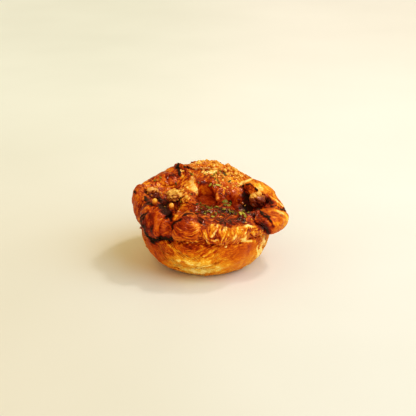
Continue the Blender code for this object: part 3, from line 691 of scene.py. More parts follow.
        (0.3, 0.6, 0.3, 142.6, 217.6, 143.4, 216.6), (0.3, 0.6, 0.3, 145.4, 222.6, 146, 220.8),
        (0.3, 0.5, 0.3, 147.4, 217, 147.8, 219), (0.54, 1, 0.3, 157.6, 182.6, 158.6, 185),
        (0.5, 0.9, 0.3, 173.4, 211.4, 174.4, 214, 175.6, 217),
        (1.4, 0.8, 0.4, 176, 191.6, 180, 192.4, 182, 195),
        (0.5, 0.9, 0.3, 177, 213.6, 178.6, 210.4, 180.6, 207.6), (0.65, 1, 0.3, 177.4, 260, 180.6, 260.2),
        (0.65, 1, 0.3, 181.8, 173.4, 182.2, 176.2), (0.54, 1, 0.3, 183.6, 212.6, 186, 211.4, 188.8, 211.2),
        (1.6, 0.8, 0.4, 185, 196.6, 189, 198.4), (0.65, 1, 0.3, 188.6, 263.4, 191, 264.6, 193.4, 264.4),
        (1.4, 0.7, 0.4, 192, 270.6, 198, 272.5, 204, 272),
        (1.1, 1, 0.45, 192.6, 269, 194.4, 271.6, 197.6, 273, 201.4, 272.8, 203.4, 270.8),
        (0.59, 1, 0.3, 194.6, 268, 197, 268.6, 198.4, 267), (0.75, 1, 0.38, 203.8, 170.2, 202.4, 172.4),
        (0.4, 0.9, 0.3, 203.4, 217.4, 206.4, 216.4),
        (0.59, 1, 0.45, 204.7, 232.8, 205.6, 235.8, 207.2, 238.8),
        (1.5, 0.8, 0.3, 206, 172.6, 211, 172, 215, 171), (0.35, 0.9, 0.3, 208.6, 221, 212, 220.4),
        (0.3, 0.9, 0.3, 214.4, 213.4, 216.8, 212.8), (0.65, 1, 0.3, 216.4, 267.4, 218, 266.6),
        (0.3, 0.9, 0.3, 219.4, 216.6, 221.6, 216.4), (0.43, 1, 0.3, 222, 219, 226, 219.4),
        (0.59, 1, 0.38, 222.2, 188, 224.4, 191, 223.2, 195, 222.2, 198.6),
        (0.48, 1, 0.45, 222.6, 233, 223.6, 230, 224.4, 227.6), (0.3, 0.9, 0.3, 226.6, 214.6, 229, 214),
        (0.43, 1, 0.38, 229.2, 233.6, 229.8, 231.4),
        (0.75, 1, 0.45, 231, 244.8, 233.4, 246, 236.2, 245.2, 238, 242.4),
        (0.35, 0.9, 0.3, 232.4, 216.6, 235, 215.8), (0.54, 1, 0.38, 233.4, 238, 234.8, 235.2, 236.4, 236.6),
        (1, 0.8, 0.2, 240.7, 183.6, 246, 181.4, 252, 179),
        (0.91, 1, 0.38, 241, 184.6, 243.4, 182.8, 246.6, 181.4, 250, 180, 252.4, 178.9),
        (0.59, 1, 0.38, 242, 238.6, 244.4, 238.4, 246, 236.4),
        (0.85, 1, 0.52, 244, 240.4, 247, 241.6, 251, 241.2, 254.4, 240.2),
        (0.54, 1, 0.38, 244.6, 233.6, 246.4, 231.8, 246.4, 229.6),
        (0.8, 1, 0.4, 245.6, 226.4, 248.2, 225.6, 251, 226.8), (0.4, 0.8, 0.2, 254.6, 217.6, 256.4, 219.6),
        (1.6, 0.7, 0.3, 264, 240, 261, 245, 259, 251, 257, 256), (0.4, 0.8, 0.2, 259.6, 219, 261.6, 221.6),
        (0.75, 1, 0.38, 260.4, 247.4, 261.6, 250.6, 260.6, 253.6),
        (0.65, 1, 0.38, 263.4, 239.6, 264.6, 242.6, 263.4, 246.4),
        (0.65, 1, 0.38, 270.4, 196.8, 273.4, 198.8, 277, 201.4, 280.4, 204, 283, 206.4),
    ),
    # The palest flakes, and painted highlights: small glints, and the wall left of the crater made paler.
    Mark.CREAM_AND_GLINT: (
        (0.3, 0.7, 0.2, 151.8, 221.4, 152.2, 224), (0.3, 0.7, 0.2, 160.4, 219.6, 161.8, 218.8),
        (0.7, 1, 0.45, 179.4, 167.2, 180.2, 169.2, 181.6, 172), (0.3, 0.7, 0.2, 186.6, 186.4, 187.8, 189),
        (2.4, 0.9, 0.3, 192, 180, 194, 186, 196.4, 193), (0.96, 1, 0.38, 206, 173, 210, 172.6, 214.6, 171.6),
        (0.65, 1, 0.68, 217, 225.6, 217.5, 228, 216, 231, 213.8, 234, 211.4, 237),
        (0.43, 1, 0.3, 211.4, 240.2, 214, 240.8, 217.6, 240.2),
        (0.48, 1, 0.45, 225.4, 232, 226.2, 229.6, 226.6, 227.4),
        (0.3, 0.7, 0.2, 226, 231.6, 227, 229.6, 228.4, 231), (0.3, 0.7, 0.25, 227.2, 196.4, 226.4, 198.6),
        (0.3, 0.8, 0.25, 226.8, 186.4, 228, 188.4), (0.3, 0.7, 0.25, 230.4, 191.6, 231.2, 193.6),
        (0.3, 0.7, 0.2, 231.6, 229.4, 233, 231.4), (0.3, 0.7, 0.2, 245.4, 233, 248.6, 232),
        (0.65, 1, 0.38, 257, 245.6, 256.8, 249, 257.6, 253, 257.2, 256.4),
    ),
}
STROKES = [Stroke(mark, *row[:3], pairs(row[3:])) for mark, rows in STROKE_ROWS.items() for row in rows]


class Strip(NamedTuple):
    """A sliver along a line on the crust: half width and height in millimetres, tone, places."""

    half_width: float
    half_height: float
    tint: float
    line: tuple


# Half width, half height and tone of each sliver, then the places of its line.
HERB_ROWS = (
    (0.5, 0.25, 0.6, 203, 205.6, 207, 205.4), (0.6, 0.25, 0.5, 206.5, 206.5, 210, 208.2, 213.5, 209.4),
    (1.1, 0.3, 0.85, 210.4, 214.8, 212, 216.2, 213.8, 218.4), (0.6, 0.25, 0.75, 203.4, 214, 206.2, 214.4),
    (0.4, 0.25, 0.4, 204.8, 210.6, 205.8, 213.8), (1.3, 0.3, 0.5, 222.6, 203, 225.4, 201, 228, 202.6),
    (1.1, 0.3, 0.38, 223, 205.6, 227.6, 204.4), (0.9, 0.25, 0.6, 227, 206.4, 230.6, 205),
    (0.8, 0.25, 0.45, 229, 202.6, 231.4, 204.4), (0.7, 0.25, 0.65, 222, 209.6, 226, 209.4),
    (0.5, 0.25, 0.45, 216, 206.4, 218.2, 208.2), (0.6, 0.25, 0.5, 228.8, 209, 230, 213.2),
    (0.5, 0.25, 0.4, 232.2, 210.8, 233.2, 214), (1, 0.35, 0.9, 238.6, 212.4, 240.6, 213.6, 241.6, 216),
    (0.9, 0.35, 0.75, 240.4, 212.6, 243, 213.4, 245.4, 215.2), (0.7, 0.3, 0.6, 242, 211.2, 245, 210.8),
    (0.9, 0.3, 0.6, 243.6, 216.6, 246.4, 216), (0.5, 0.25, 0.2, 228, 182.6, 231, 180.2),
    (0.8, 0.25, 0.85, 209, 186.4, 212, 183.4), (0.75, 0.25, 0.8, 215.4, 185, 221, 185.6),
    (0.6, 0.25, 0.65, 212.6, 185.6, 214.8, 186.2), (0.4, 0.25, 0.4, 213.6, 184, 216, 185),
    (0.45, 0.25, 0.45, 217.8, 182.4, 219.4, 182), (0.4, 0.25, 0.45, 213, 174, 213.6, 178),
    (0.85, 0.25, 0.8, 215.4, 172, 219, 174), (0.8, 0.25, 0.75, 218, 171, 221, 173),
    (0.7, 0.25, 0.55, 212.6, 175, 215.4, 173.6), (0.4, 0.25, 0.35, 216, 173.4, 222, 174.6),
    (0.45, 0.25, 0.3, 220.6, 170.4, 224.4, 165.4), (0.45, 0.25, 0.75, 225.4, 175.4, 227, 175),
    (0.5, 0.25, 0.5, 189.6, 173, 192.6, 175.2, 195.4, 176.6), (0.4, 0.25, 0.4, 197.6, 183.4, 199.2, 182.6),
    (0.6, 0.25, 0.12, 229.4, 200, 231.6, 203), (0.6, 0.25, 0.1, 238.4, 208.6, 240.6, 207.8),
    (0.6, 0.25, 0.55, 159.4, 176.6, 161.6, 178.6), (0.5, 0.25, 0.25, 175.4, 182.6, 177, 185.6),
    (0.6, 0.25, 0.3, 180.4, 197, 181.6, 199.4), (0.6, 0.25, 0.85, 180.4, 200.8, 181.4, 202.6),
    (0.5, 0.25, 0.55, 155.4, 187.6, 157.2, 188.6), (0.5, 0.25, 0.3, 190, 173.6, 192.4, 174.4),
    (0.45, 0.25, 0.55, 247, 213.4, 249.4, 212.2), (0.45, 0.25, 0.4, 235.6, 213.6, 237.4, 215.4),
)
HERB_STRIPS = [Strip(*row[:3], pairs(row[3:])) for row in HERB_ROWS]


class Nugget(NamedTuple):
    """A lump of nut or crisp crumb: its place as it shows, half size in millimetres and tone."""

    across: float
    down: float
    half_size: float
    tint: float


# Place across and down, half size and tone of each nugget.
NUGGET_ROWS = (
    (157.4, 180.2, 1.2, 0.5), (158.8, 184.4, 0.8, 0.7), (160.2, 192.8, 1, 0.75), (161.6, 195.4, 0.9, 0.7),
    (151.6, 195.6, 0.8, 0.55), (157.6, 191.6, 0.9, 0.6), (147.6, 193.4, 0.8, 0.4), (165.4, 193.2, 1.1, 0.5),
    (183.6, 202.6, 0.8, 0.6), (176.4, 191.8, 1.5, 0.85), (179.6, 191.4, 1.3, 0.85), (181.8, 193.6, 1.2, 0.8),
    (182.2, 196, 1.1, 0.75), (186.2, 201.2, 0.7, 0.6), (186.4, 197.2, 1.6, 0.85), (188.8, 198.8, 1.2, 0.75),
    (184.6, 199.4, 0.9, 0.6), (185.8, 193.2, 0.9, 0.65), (189.6, 194.4, 0.8, 0.55), (187.4, 189.6, 0.8, 0.5),
    (183.4, 188.4, 0.9, 0.45), (185.2, 185.4, 0.8, 0.6), (167, 185.4, 1.1, 0.55), (223.4, 163.6, 1, 0.7),
    (228.4, 166.4, 1.1, 0.65), (232.8, 169.4, 1.2, 0.65), (236.4, 169.8, 1, 0.6), (231.2, 171, 0.9, 0.7),
    (238, 176.4, 1.1, 0.75), (233, 174.6, 1, 0.6), (219, 168, 1.1, 0.6), (214, 165, 1.2, 0.7),
    (208, 165.6, 1.1, 0.6), (226, 170.6, 0.9, 0.5), (241, 178.6, 0.9, 0.6), (228.2, 191.5, 0.6, 0.75),
    (233.6, 183, 0.8, 0.75), (235.2, 185.6, 0.7, 0.75), (226, 246.6, 0.9, 1), (219.8, 243.8, 1.1, 0.45),
    (251.8, 195.8, 1.2, 0.85), (263.8, 193, 1, 0.55), (260.4, 194.6, 0.9, 0.6), (255.6, 193.4, 1.1, 0.65),
    (252.4, 193.6, 1, 0.55), (242.4, 203, 1.2, 0.35), (245, 205.6, 0.7, 0.8), (251.4, 219.4, 0.8, 0.75),
    (246, 222.6, 0.8, 0.7), (262.4, 230.6, 0.8, 0.6), (264.6, 233.2, 0.7, 0.6), (241.8, 229.6, 0.7, 0.95),
    (177.6, 257.4, 0.7, 0.7),
)
NUGGETS = [Nugget(*row) for row in NUGGET_ROWS]


@dataclass
class Bake:
    """What the oven did at each point of a piece, with painted shade and highlights laid in, one value a
    point.

    brown runs from 0, cream, to 1, black-brown; glaze, flake and char from 0 to 1; layer counts
    the lines of dough layers, lines says how plain they show, and mottle how patchy the colour is.
    """

    brown: np.ndarray
    glaze: np.ndarray
    flake: np.ndarray
    char: np.ndarray
    layer: np.ndarray
    lines: np.ndarray
    mottle: np.ndarray

    @staticmethod
    def plain(
        count: int, brown: float = 0.0, glaze: float = 0.0, flake: float = 0.0, char: float = 0.0
    ) -> "Bake":
        """The same values at every point, with no lines."""
        levels = (brown, glaze, flake, char, 0.0, 0.0, 1.0)
        return Bake(*(np.full(count, level) for level in levels))

    def mark(self, mark: Mark, share: np.ndarray) -> None:
        """Lays a mark on the points, each by its share."""
        brown, glaze, flake, char = mark.value
        self.brown = self.brown + brown * share
        self.glaze = self.glaze + glaze * share
        self.flake = self.flake + flake * share
        self.char = self.char + char * share
        self.lines = self.lines * (1.0 - 0.4 * share)
        if mark is Mark.SMOOTH:
            self.mottle = self.mottle * (1.0 - 0.65 * np.minimum(share, 1.0))

    def values(self) -> dict[str, np.ndarray]:
        """The values by attribute name, kept within their ranges."""
        tops = {"brown": 1.0, "glaze": 1.0, "flake": 1.0, "char": 1.0, "lines": 1.0, "mottle": 1.5}
        values = {name: np.clip(getattr(self, name), 0.0, top) for name, top in tops.items()}
        return {**values, "layer": self.layer}


def walk(length: np.ndarray, run: np.ndarray, line: np.ndarray) -> np.ndarray:
    """The places on a line after each length, where run says how far along it each corner is."""
    return np.column_stack([np.interp(length, run, line[:, axis]) for axis in range(3)])


def distance_to_line(points: np.ndarray, line: np.ndarray) -> np.ndarray:
    """Distance from each point to a line of straight runs."""
    least = np.full(len(points), 1e9)
    for start, end in zip(line[:-1], line[1:]):
        run = end - start
        share = np.clip((points - start) @ run / max(float(run @ run), 1e-9), 0.0, 1.0)
        least = np.minimum(least, np.linalg.norm(points - start - share[:, None] * run, axis=1))
    return least


# ---------------------------------------------------------------- working on meshes


class Bench:
    """Primitives and the steps that every piece goes through."""

    @staticmethod
    def deselect() -> None:
        """Leaves object mode with nothing selected."""
        if bpy.context.mode != "OBJECT":
            bpy.ops.object.mode_set(mode="OBJECT")
        bpy.ops.object.select_all(action="DESELECT")

    @staticmethod
    def named(name: str) -> bpy.types.Object:
        """Names the newly added primitive and its mesh."""
        piece = bpy.context.active_object
        piece.name = name
        piece.data.name = name
        return piece

    @staticmethod
    def link(name: str, data: bpy.types.ID) -> bpy.types.Object:
        """A new object in the scene with that data."""
        piece = bpy.data.objects.new(name, data)
        bpy.context.scene.collection.objects.link(piece)
        return piece

    @classmethod
    def ball(cls, name: str, segments: int, rings: int) -> bpy.types.Object:
        """A ball of radius 1 with rings of faces."""
        cls.deselect()
        bpy.ops.mesh.primitive_uv_sphere_add(segments=segments, ring_count=rings, radius=1.0)
        return cls.named(name)

    @classmethod
    def bead(cls, name: str, subdivisions: int) -> bpy.types.Object:
        """A ball of radius 1 with even triangles."""
        cls.deselect()
        bpy.ops.mesh.primitive_ico_sphere_add(subdivisions=subdivisions, radius=1.0)
        return cls.named(name)

    @classmethod
    def slab(cls, name: str, across: int, up: int) -> bpy.types.Object:
        """A closed sheet: a grid from -1 to 1, extruded from 0 up to 1."""
        cls.deselect()
        bpy.ops.mesh.primitive_grid_add(x_subdivisions=across, y_subdivisions=up, size=2.0)
        piece = cls.named(name)
        bpy.ops.object.mode_set(mode="EDIT")
        bpy.ops.mesh.select_all(action="SELECT")
        bpy.ops.mesh.extrude_region_move(TRANSFORM_OT_translate={"value": (0.0, 0.0, 1.0)})
        bpy.ops.mesh.select_all(action="SELECT")
        bpy.ops.mesh.normals_make_consistent(inside=False)
        bpy.ops.object.mode_set(mode="OBJECT")
        return piece

    @staticmethod
    def points(piece: bpy.types.Object) -> np.ndarray:
        """The mesh's points as they stand in its data."""
        flat = np.empty(len(piece.data.vertices) * 3, np.float32)
        piece.data.vertices.foreach_get("co", flat)
        return flat.reshape(-1, 3).astype(float)

    @staticmethod
    def put(piece: bpy.types.Object, points: np.ndarray) -> None:
        """Moves the mesh's points to places in millimetres."""
        piece.data.vertices.foreach_set("co", (points * MM).astype(np.float32).ravel())
        piece.data.update()

    @staticmethod
    def store(piece: bpy.types.Object, values: dict[str, np.ndarray]) -> None:
        """Keeps one value a point under each name."""
        for name, value in values.items():
            layer = piece.data.attributes.new(name, "FLOAT", "POINT")
            layer.data.foreach_set("value", np.ascontiguousarray(value, np.float32))

    @classmethod
    def smooth(cls, piece: bpy.types.Object, degrees: float = 60.0) -> None:
        """Smooth shading, with edges sharper than the angle kept."""
        cls.deselect()
        piece.select_set(True)
        bpy.context.view_layer.objects.active = piece
        bpy.ops.object.shade_smooth_by_angle(angle=math.radians(degrees))

    @classmethod
    def join(cls, pieces: list[bpy.types.Object], name: str) -> bpy.types.Object:
        """One object from many, all of one kind."""
        cls.deselect()
        for piece in pieces:
            piece.select_set(True)
        bpy.context.view_layer.objects.active = pieces[0]
        bpy.ops.object.join()
        return cls.named(name)

    @staticmethod
    def hand_over(
        piece: bpy.types.Object, material: bpy.types.Material, slot: str, *nodes: str
    ) -> None:
        """Gives a piece its finish, hides the nodes it stands for, and fixes it to the body."""
        piece.data.materials.clear()
        piece.data.materials.append(material)
        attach(piece, "root")
        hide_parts(*nodes)
        LOG.info("%s: %d faces", piece.name, len(piece.data.polygons))


def nearest(trees: list[BVHTree], start: Vector, way: Vector, reach: float) -> Optional[tuple]:
    """The nearest place, in metres, that a ray meets, with its normal, face and distance."""
    hits = [tree.ray_cast(start, way, reach) for tree in trees]
    return min((hit for hit in hits if hit[0] is not None), key=lambda hit: hit[3], default=None)


class Solid:
    """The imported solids, for where details lie and how sheltered a place is.

    To see that, some looks go out from a little off the skin, leaning away from it.
    """

    LOOKS = 12
    OFF = 0.9
    LEAN = 1.25

    def __init__(self, names: Iterable[str]) -> None:
        """Reads the nodes' meshes.

        Args:
            names: the nodes that carry details.
        """
        graph = bpy.context.evaluated_depsgraph_get()
        self.trees = [BVHTree.FromObject(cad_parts[name], graph) for name in names]

    def seen(self, across: float, down: float) -> Optional[np.ndarray]:
        """The place on the solids that shows at a place in the picture."""
        hit = nearest(self.trees, VIEW.place() * MM, VIEW.ray(across, down), VIEW.reach)
        return np.array(hit[0] / MM) if hit else None

    def shelter(self, points: np.ndarray, normals: np.ndarray, reach: float = 9.0) -> np.ndarray:
        """Share of the sky that dough close by hides from each point, 0 to 1."""
        spread = unit(np.random.default_rng(5).normal(size=(self.LOOKS, 3)))
        hidden = np.zeros(len(points))
        for index, (point, normal) in enumerate(zip(points, normals)):
            start = Vector(point + normal * self.OFF) * MM
            for way in spread + self.LEAN * normal:
                hit = nearest(self.trees, start, Vector(way).normalized(), reach * MM)
                if hit:
                    hidden[index] += 1.0 - hit[3] / MM / reach
        return hidden / self.LOOKS


SOLID = Solid(("pastry", "walnut_left_outer", "walnut_left_inner", "walnut_right", "filling"))


def marked_lines() -> list[tuple[Stroke, np.ndarray]]:
    """Each stroke with the places of its line on the dough, also halfway along each run."""
    lines = []
    for stroke in STROKES:
        corners = np.array(stroke.line)
        halfway = 0.5 * (corners[:-1] + corners[1:])
        drawn = np.vstack([np.stack([corners[:-1], halfway], axis=1).reshape(-1, 2), corners[-1:]])
        places = [place for place in (SOLID.seen(*place) for place in drawn) if place is not None]
        if len(places) > 1:
            lines.append((stroke, np.array(places)))
    return lines


# ---------------------------------------------------------------- finishes


def operator(operation: str, swapped: bool = False) -> Callable[["Value", object], "Value"]:
    """A method for a Python operator that adds the Math node for it, its terms swapped if so told."""

    def apply(self: "Value", other: object) -> "Value":
        """The node on the two terms."""
        return self.combine(operation, other, self) if swapped else self.combine(operation, self, other)

    return apply


class Value:
    """A shader socket in Python expressions: each operator adds its Math node."""

    __add__, __radd__ = operator("ADD"), operator("ADD", True)
    __sub__, __rsub__ = operator("SUBTRACT"), operator("SUBTRACT", True)
    __mul__, __rmul__ = operator("MULTIPLY"), operator("MULTIPLY", True)

    def __init__(self, kit: "NodeKit", socket: bpy.types.NodeSocket) -> None:
        self.kit = kit
        self.socket = socket

    def combine(self, operation: str, *terms: object) -> "Value":
        """A Math node on the terms."""
        return self.kit.add("ShaderNodeMath", {"operation": operation}, dict(enumerate(terms)))

    def part(self) -> "Value":
        """What is over the last whole number."""
        return self.combine("FRACT", self)

    def ease(self, low: float, high: float) -> "Value":
        """Smooth step from 0 at low to 1 at high."""
        return self.kit.add(
            "ShaderNodeMapRange",
            {"interpolation_type": "SMOOTHSTEP"},
            {"Value": self, "From Min": low, "From Max": high},
        )


class NodeKit:
    """A material's nodes, added one by one."""

    def __init__(self, name: str) -> None:
        """Starts a material with its shader and output.

        Args:
            name: what the material is called.
        """
        self.material = bpy.data.materials.new(name)
        self.material.use_nodes = True
        self.tree = self.material.node_tree
        self.shader = self.tree.nodes["Principled BSDF"]

    def add(self, kind: str, settings: dict, inputs: dict, output: object = 0) -> Value:
        """Adds a node.

        Args:
            kind: the node's type.
            settings: its settings, or the stops of its ramp, set before its sockets.
            inputs: a value or a link for each socket, by name or place.
            output: the socket to use from it, by name or place.

        Returns:
            The output socket.
        """
        node = self.tree.nodes.new(kind)
        for name, setting in settings.items():
            if name == "stops":
                self._stops(node.color_ramp, setting)
            else:
                setattr(node, name, setting)
        for key, value in inputs.items():
            self.feed(node.inputs[key], value)
        return Value(self, node.outputs[output])

    @staticmethod
    def _stops(ramp: bpy.types.ColorRamp, stops: tuple) -> None:
        """Sets a ramp's stops, each a place and a colour."""
        while len(ramp.elements) > 1:
            ramp.elements.remove(ramp.elements[-1])
        ramp.elements[0].position, ramp.elements[0].color = stops[0]
        for place, colour in stops[1:]:
            ramp.elements.new(place).color = colour

    def feed(self, socket: bpy.types.NodeSocket, value: object) -> None:
        """Links a value to a socket, or sets it there."""
        if isinstance(value, Value):
            self.tree.links.new(value.socket, socket)
        else:
            socket.default_value = value

    def places(self) -> Value:
        """Places on the piece, in millimetres."""
        at = self.add("ShaderNodeTexCoord", {}, {}, "Object")
        return self.add("ShaderNodeVectorMath", {"operation": "SCALE"}, {0: at, "Scale": 1.0 / MM})

    def noise(self, at: Value, size: float, detail: float = 3.0, twist: float = 0.0) -> Value:
        """Noise from 0 to 1 with bumps about size apart."""
        inputs = {"Vector": at, "Scale": 1.0 / size, "Detail": detail, "Distortion": twist}
        return self.add("ShaderNodeTexNoise", {}, inputs)

    def streaks(self, at: Value, layer: Value, length: float) -> Value:
        """Noise from 0 to 1 in streaks about length long, that run along the dough's layers."""
        inputs = {"Vector": at, "W": layer * (1.6 * length), "Scale": 1.0 / length, "Detail": 2.0}
        return self.add("ShaderNodeTexNoise", {"noise_dimensions": "4D"}, inputs)

    def cells(self, at: Value, size: float) -> Value:
        """Distance to the nearest cell's middle, with cells about size wide."""
        inputs = {"Vector": at, "Scale": 1.0 / size}
        return self.add("ShaderNodeTexVoronoi", {"feature": "SMOOTH_F1"}, inputs)

    def attribute(self, name: str) -> Value:
        """The piece's own value of that name."""
        return self.add("ShaderNodeAttribute", {"attribute_name": name}, {}, "Fac")

    def mix(self, share: object, first: object, second: object) -> Value:
        """A colour between two."""
        return self.add("ShaderNodeMix", {"data_type": "RGBA"}, {0: share, 6: first, 7: second}, 2)

    def ramp(self, at: Value, stops: tuple) -> Value:
        """A colour from stops."""
        return self.add("ShaderNodeValToRGB", {"stops": stops}, {0: at})

    def bump(self, height: Value, millimetres: float, strength: float) -> Value:
        """A normal from a height of 0 to 1."""
        inputs = {"Height": height, "Distance": millimetres * MM, "Strength": strength}
        return self.add("ShaderNodeBump", {}, inputs)

    def finish(self, **sockets: object) -> bpy.types.Material:
        """Feeds the shader's sockets, whose names have their spaces as underscores."""
        for name, value in sockets.items():
            self.feed(self.shader.inputs[name.replace("_", " ")], value)
        return self.material


@dataclass(frozen=True)
class CrustFinish:
    """Baked dough: browned by its place, with layer lines, crisp flakes, glaze and burnt edges, and the
    painted shade and highlights that its values carry.
    """

    browning: tuple = (
        (0.00, linear(255, 236, 156)), (0.12, linear(252, 210, 92)), (0.25, linear(240, 170, 40)),
        (0.38, linear(224, 132, 22)), (0.50, linear(202, 96, 12)), (0.62, linear(169, 59, 6)),
        (0.74, linear(130, 29, 3)), (0.86, linear(94, 14, 3)), (1.00, linear(44, 10, 5)),
    )
    crisp: tuple = (
        (0.25, linear(246, 190, 92)), (0.55, linear(253, 222, 140)), (0.85, linear(255, 242, 200)),
    )
    burnt: tuple = ((0.30, linear(22, 14, 12)), (0.60, linear(40, 30, 22)), (0.85, linear(84, 80, 54)))

    def material(self) -> bpy.types.Material:
        """The crust's material."""
        kit = NodeKit("crust")
        at = kit.places()
        broad, middling = kit.noise(at, 9.0, 3.0, 0.4), kit.noise(at, 2.8, 3.0, 0.6)
        fine, fleck = kit.noise(at, 0.9, 2.0), kit.noise(at, 1.25, 2.0, 1.0)
        names = ("brown", "glaze", "flake", "char", "layer", "lines", "mottle")
        brown, glaze, flake, char, layer, lines, mottle = map(kit.attribute, names)
        streak = kit.streaks(at, layer, 4.2)
        step = (layer + (middling - 0.5) * 0.5).part()
        edge = step.ease(0.45, 0.74) * (1.0 - step.ease(0.82, 0.96)) * lines
        groove = (step.ease(0.90, 1.0) + (1.0 - step.ease(0.0, 0.22))) * lines
        flecks = fleck.ease(0.56, 0.68) * 0.13 - (1.0 - fleck.ease(0.32, 0.45)) * 0.24
        speckle = (broad - 0.5) * 0.45 + (middling - 0.5) * 0.5 + (fine - 0.5) * 0.3 + flecks * 0.6
        speckle = speckle + (streak - 0.5) * 1.1
        tone = brown + speckle * mottle + groove * 0.24 - edge * 0.28 + char * 0.3
        colour = kit.ramp(tone, self.browning)
        crisp = (flake * 0.75 + (middling - 0.5) * 0.9 + edge * 0.35).ease(0.42, 0.72)
        colour = kit.mix(crisp * 0.75, colour, kit.ramp(fine, self.crisp))
        burn = (char + (middling - 0.5) * 0.6).ease(0.35, 0.95)
        colour = kit.mix(burn, colour, kit.ramp(middling * 0.6 + fine * 0.4, self.burnt))
        gloss = glaze * (1.0 - crisp * 0.7) * (1.0 - burn * 0.5) * (0.7 + streak * 0.6)
        rough = 0.58 - gloss * 0.42 + (fine - 0.5) * 0.12
        height = middling * 0.4 + fine * 0.3 + streak * 0.5 + (edge - groove) * 0.5 - kit.cells(at, 1.6) * 0.2
        return kit.finish(
            Base_Color=colour,
            Roughness=rough,
            Specular_IOR_Level=0.24,
            Specular_Tint=(1.0, 0.56, 0.32, 1.0),
            Coat_Weight=gloss * 0.15,
            Coat_Roughness=0.08,
            Normal=kit.bump(height, 0.5, 1.0),
        )


@dataclass(frozen=True)
class SpeckledFinish:
    """A ramp of tones, shifted and roughened by broad and by fine noise.

    tone names the piece's own value that it starts from, or is one value for all. broad holds the
    broad noise's size, detail and twist, fine the fine noise's size. patches and bumps say how far
    each of the two goes in the tone and in the relief, and relief its millimetres and strength.
    Gloss comes up over a range of the broad noise, and where own_glaze is set with the piece's own
    glaze. rough holds the roughness and what the broad noise, the fine noise and gloss add to it,
    and coat the coat's weight and roughness.
    """

    name: str
    tones: tuple
    broad: tuple
    fine: float
    patches: tuple[float, float]
    bumps: tuple[float, float]
    relief: tuple[float, float]
    rough: tuple[float, float, float, float]
    coat: tuple[float, float]
    gloss: tuple = ()
    own_glaze: bool = False
    specular: float = 0.2
    tone: object = "tint"

    def material(self) -> bpy.types.Material:
        """The finish as a material."""
        kit = NodeKit(self.name)
        at = kit.places()
        broad, fine = kit.noise(at, *self.broad), kit.noise(at, self.fine, 2.0)
        tone = kit.attribute(self.tone) if isinstance(self.tone, str) else self.tone
        tone = tone + (broad - 0.5) * self.patches[0] + (fine - 0.5) * self.patches[1]
        gloss = broad.ease(*self.gloss) if self.gloss else 1.0
        if self.own_glaze:
            gloss = kit.attribute("glaze") * gloss
        rough, by_broad, by_fine, by_gloss = self.rough
        return kit.finish(
            Base_Color=kit.ramp(tone, self.tones),
            Roughness=rough + (broad - 0.5) * by_broad + (fine - 0.5) * by_fine + gloss * by_gloss,
            Specular_IOR_Level=self.specular,
            Coat_Weight=gloss * self.coat[0],
            Coat_Roughness=self.coat[1],
            Normal=kit.bump(broad * self.bumps[0] + fine * self.bumps[1], *self.relief),
        )


# Toasted walnut: pale ridges, dark furrows and skin, partly glazed; its top is paler still, painted light.
NUT_FINISH = SpeckledFinish(
    "walnut",
    ((0.10, linear(58, 15, 8)), (0.35, linear(116, 40, 14)), (0.58, linear(142, 66, 22)),
     (0.80, linear(196, 118, 44)), (1.00, linear(240, 188, 96))),
    broad=(2.2, 3.0, 0.5), fine=0.7, patches=(0.6, 0.25), bumps=(0.6, 0.4), relief=(0.4, 0.9),
    rough=(0.55, 0.0, 0.0, -0.3), coat=(0.5, 0.12), gloss=(0.35, 0.6), own_glaze=True, specular=0.15,
    tone="brown",
)

# Chopped nut and crisp crumbs: golden, each in its own tone.
NIB_FINISH = SpeckledFinish(
    "nib",
    ((0.05, linear(168, 72, 12)), (0.35, linear(216, 128, 28)), (0.65, linear(244, 184, 66)),
     (0.95, linear(255, 230, 146))),
    broad=(1.3, 2.0), fine=0.5, patches=(0.6, 0.2), bumps=(0.5, 0.5), relief=(0.25, 0.8),
    rough=(0.42, 0.0, 0.3, 0.0), coat=(0.4, 0.15), gloss=(0.3, 0.6),
)

# Dried herb: olive to yellow-green slivers, some gone dark.
HERB_FINISH = SpeckledFinish(
    "herb",
    ((0.05, linear(36, 30, 8)), (0.30, linear(86, 76, 14)), (0.60, linear(142, 128, 30)),
     (0.95, linear(198, 186, 74))),
    broad=(1.5, 2.0), fine=0.4, patches=(0.5, 0.25), bumps=(0.4, 0.6), relief=(0.2, 0.7),
    rough=(0.5, 0.0, 0.3, 0.0), coat=(0.0, 0.03),
)

# Set filling: deep red-brown, glossy, with paler clouds.
FILLING_FINISH = SpeckledFinish(
    "filling",
    ((0.20, linear(100, 22, 4)), (0.50, linear(148, 46, 8)), (0.80, linear(190, 100, 36))),
    broad=(5.0, 3.0, 0.5), fine=1.2, patches=(1.0, 0.25), bumps=(0.7, 0.3), relief=(0.3, 0.6),
    rough=(0.2, 0.2, 0.0, 0.0), coat=(0.4, 0.06), tone=0.5,
)


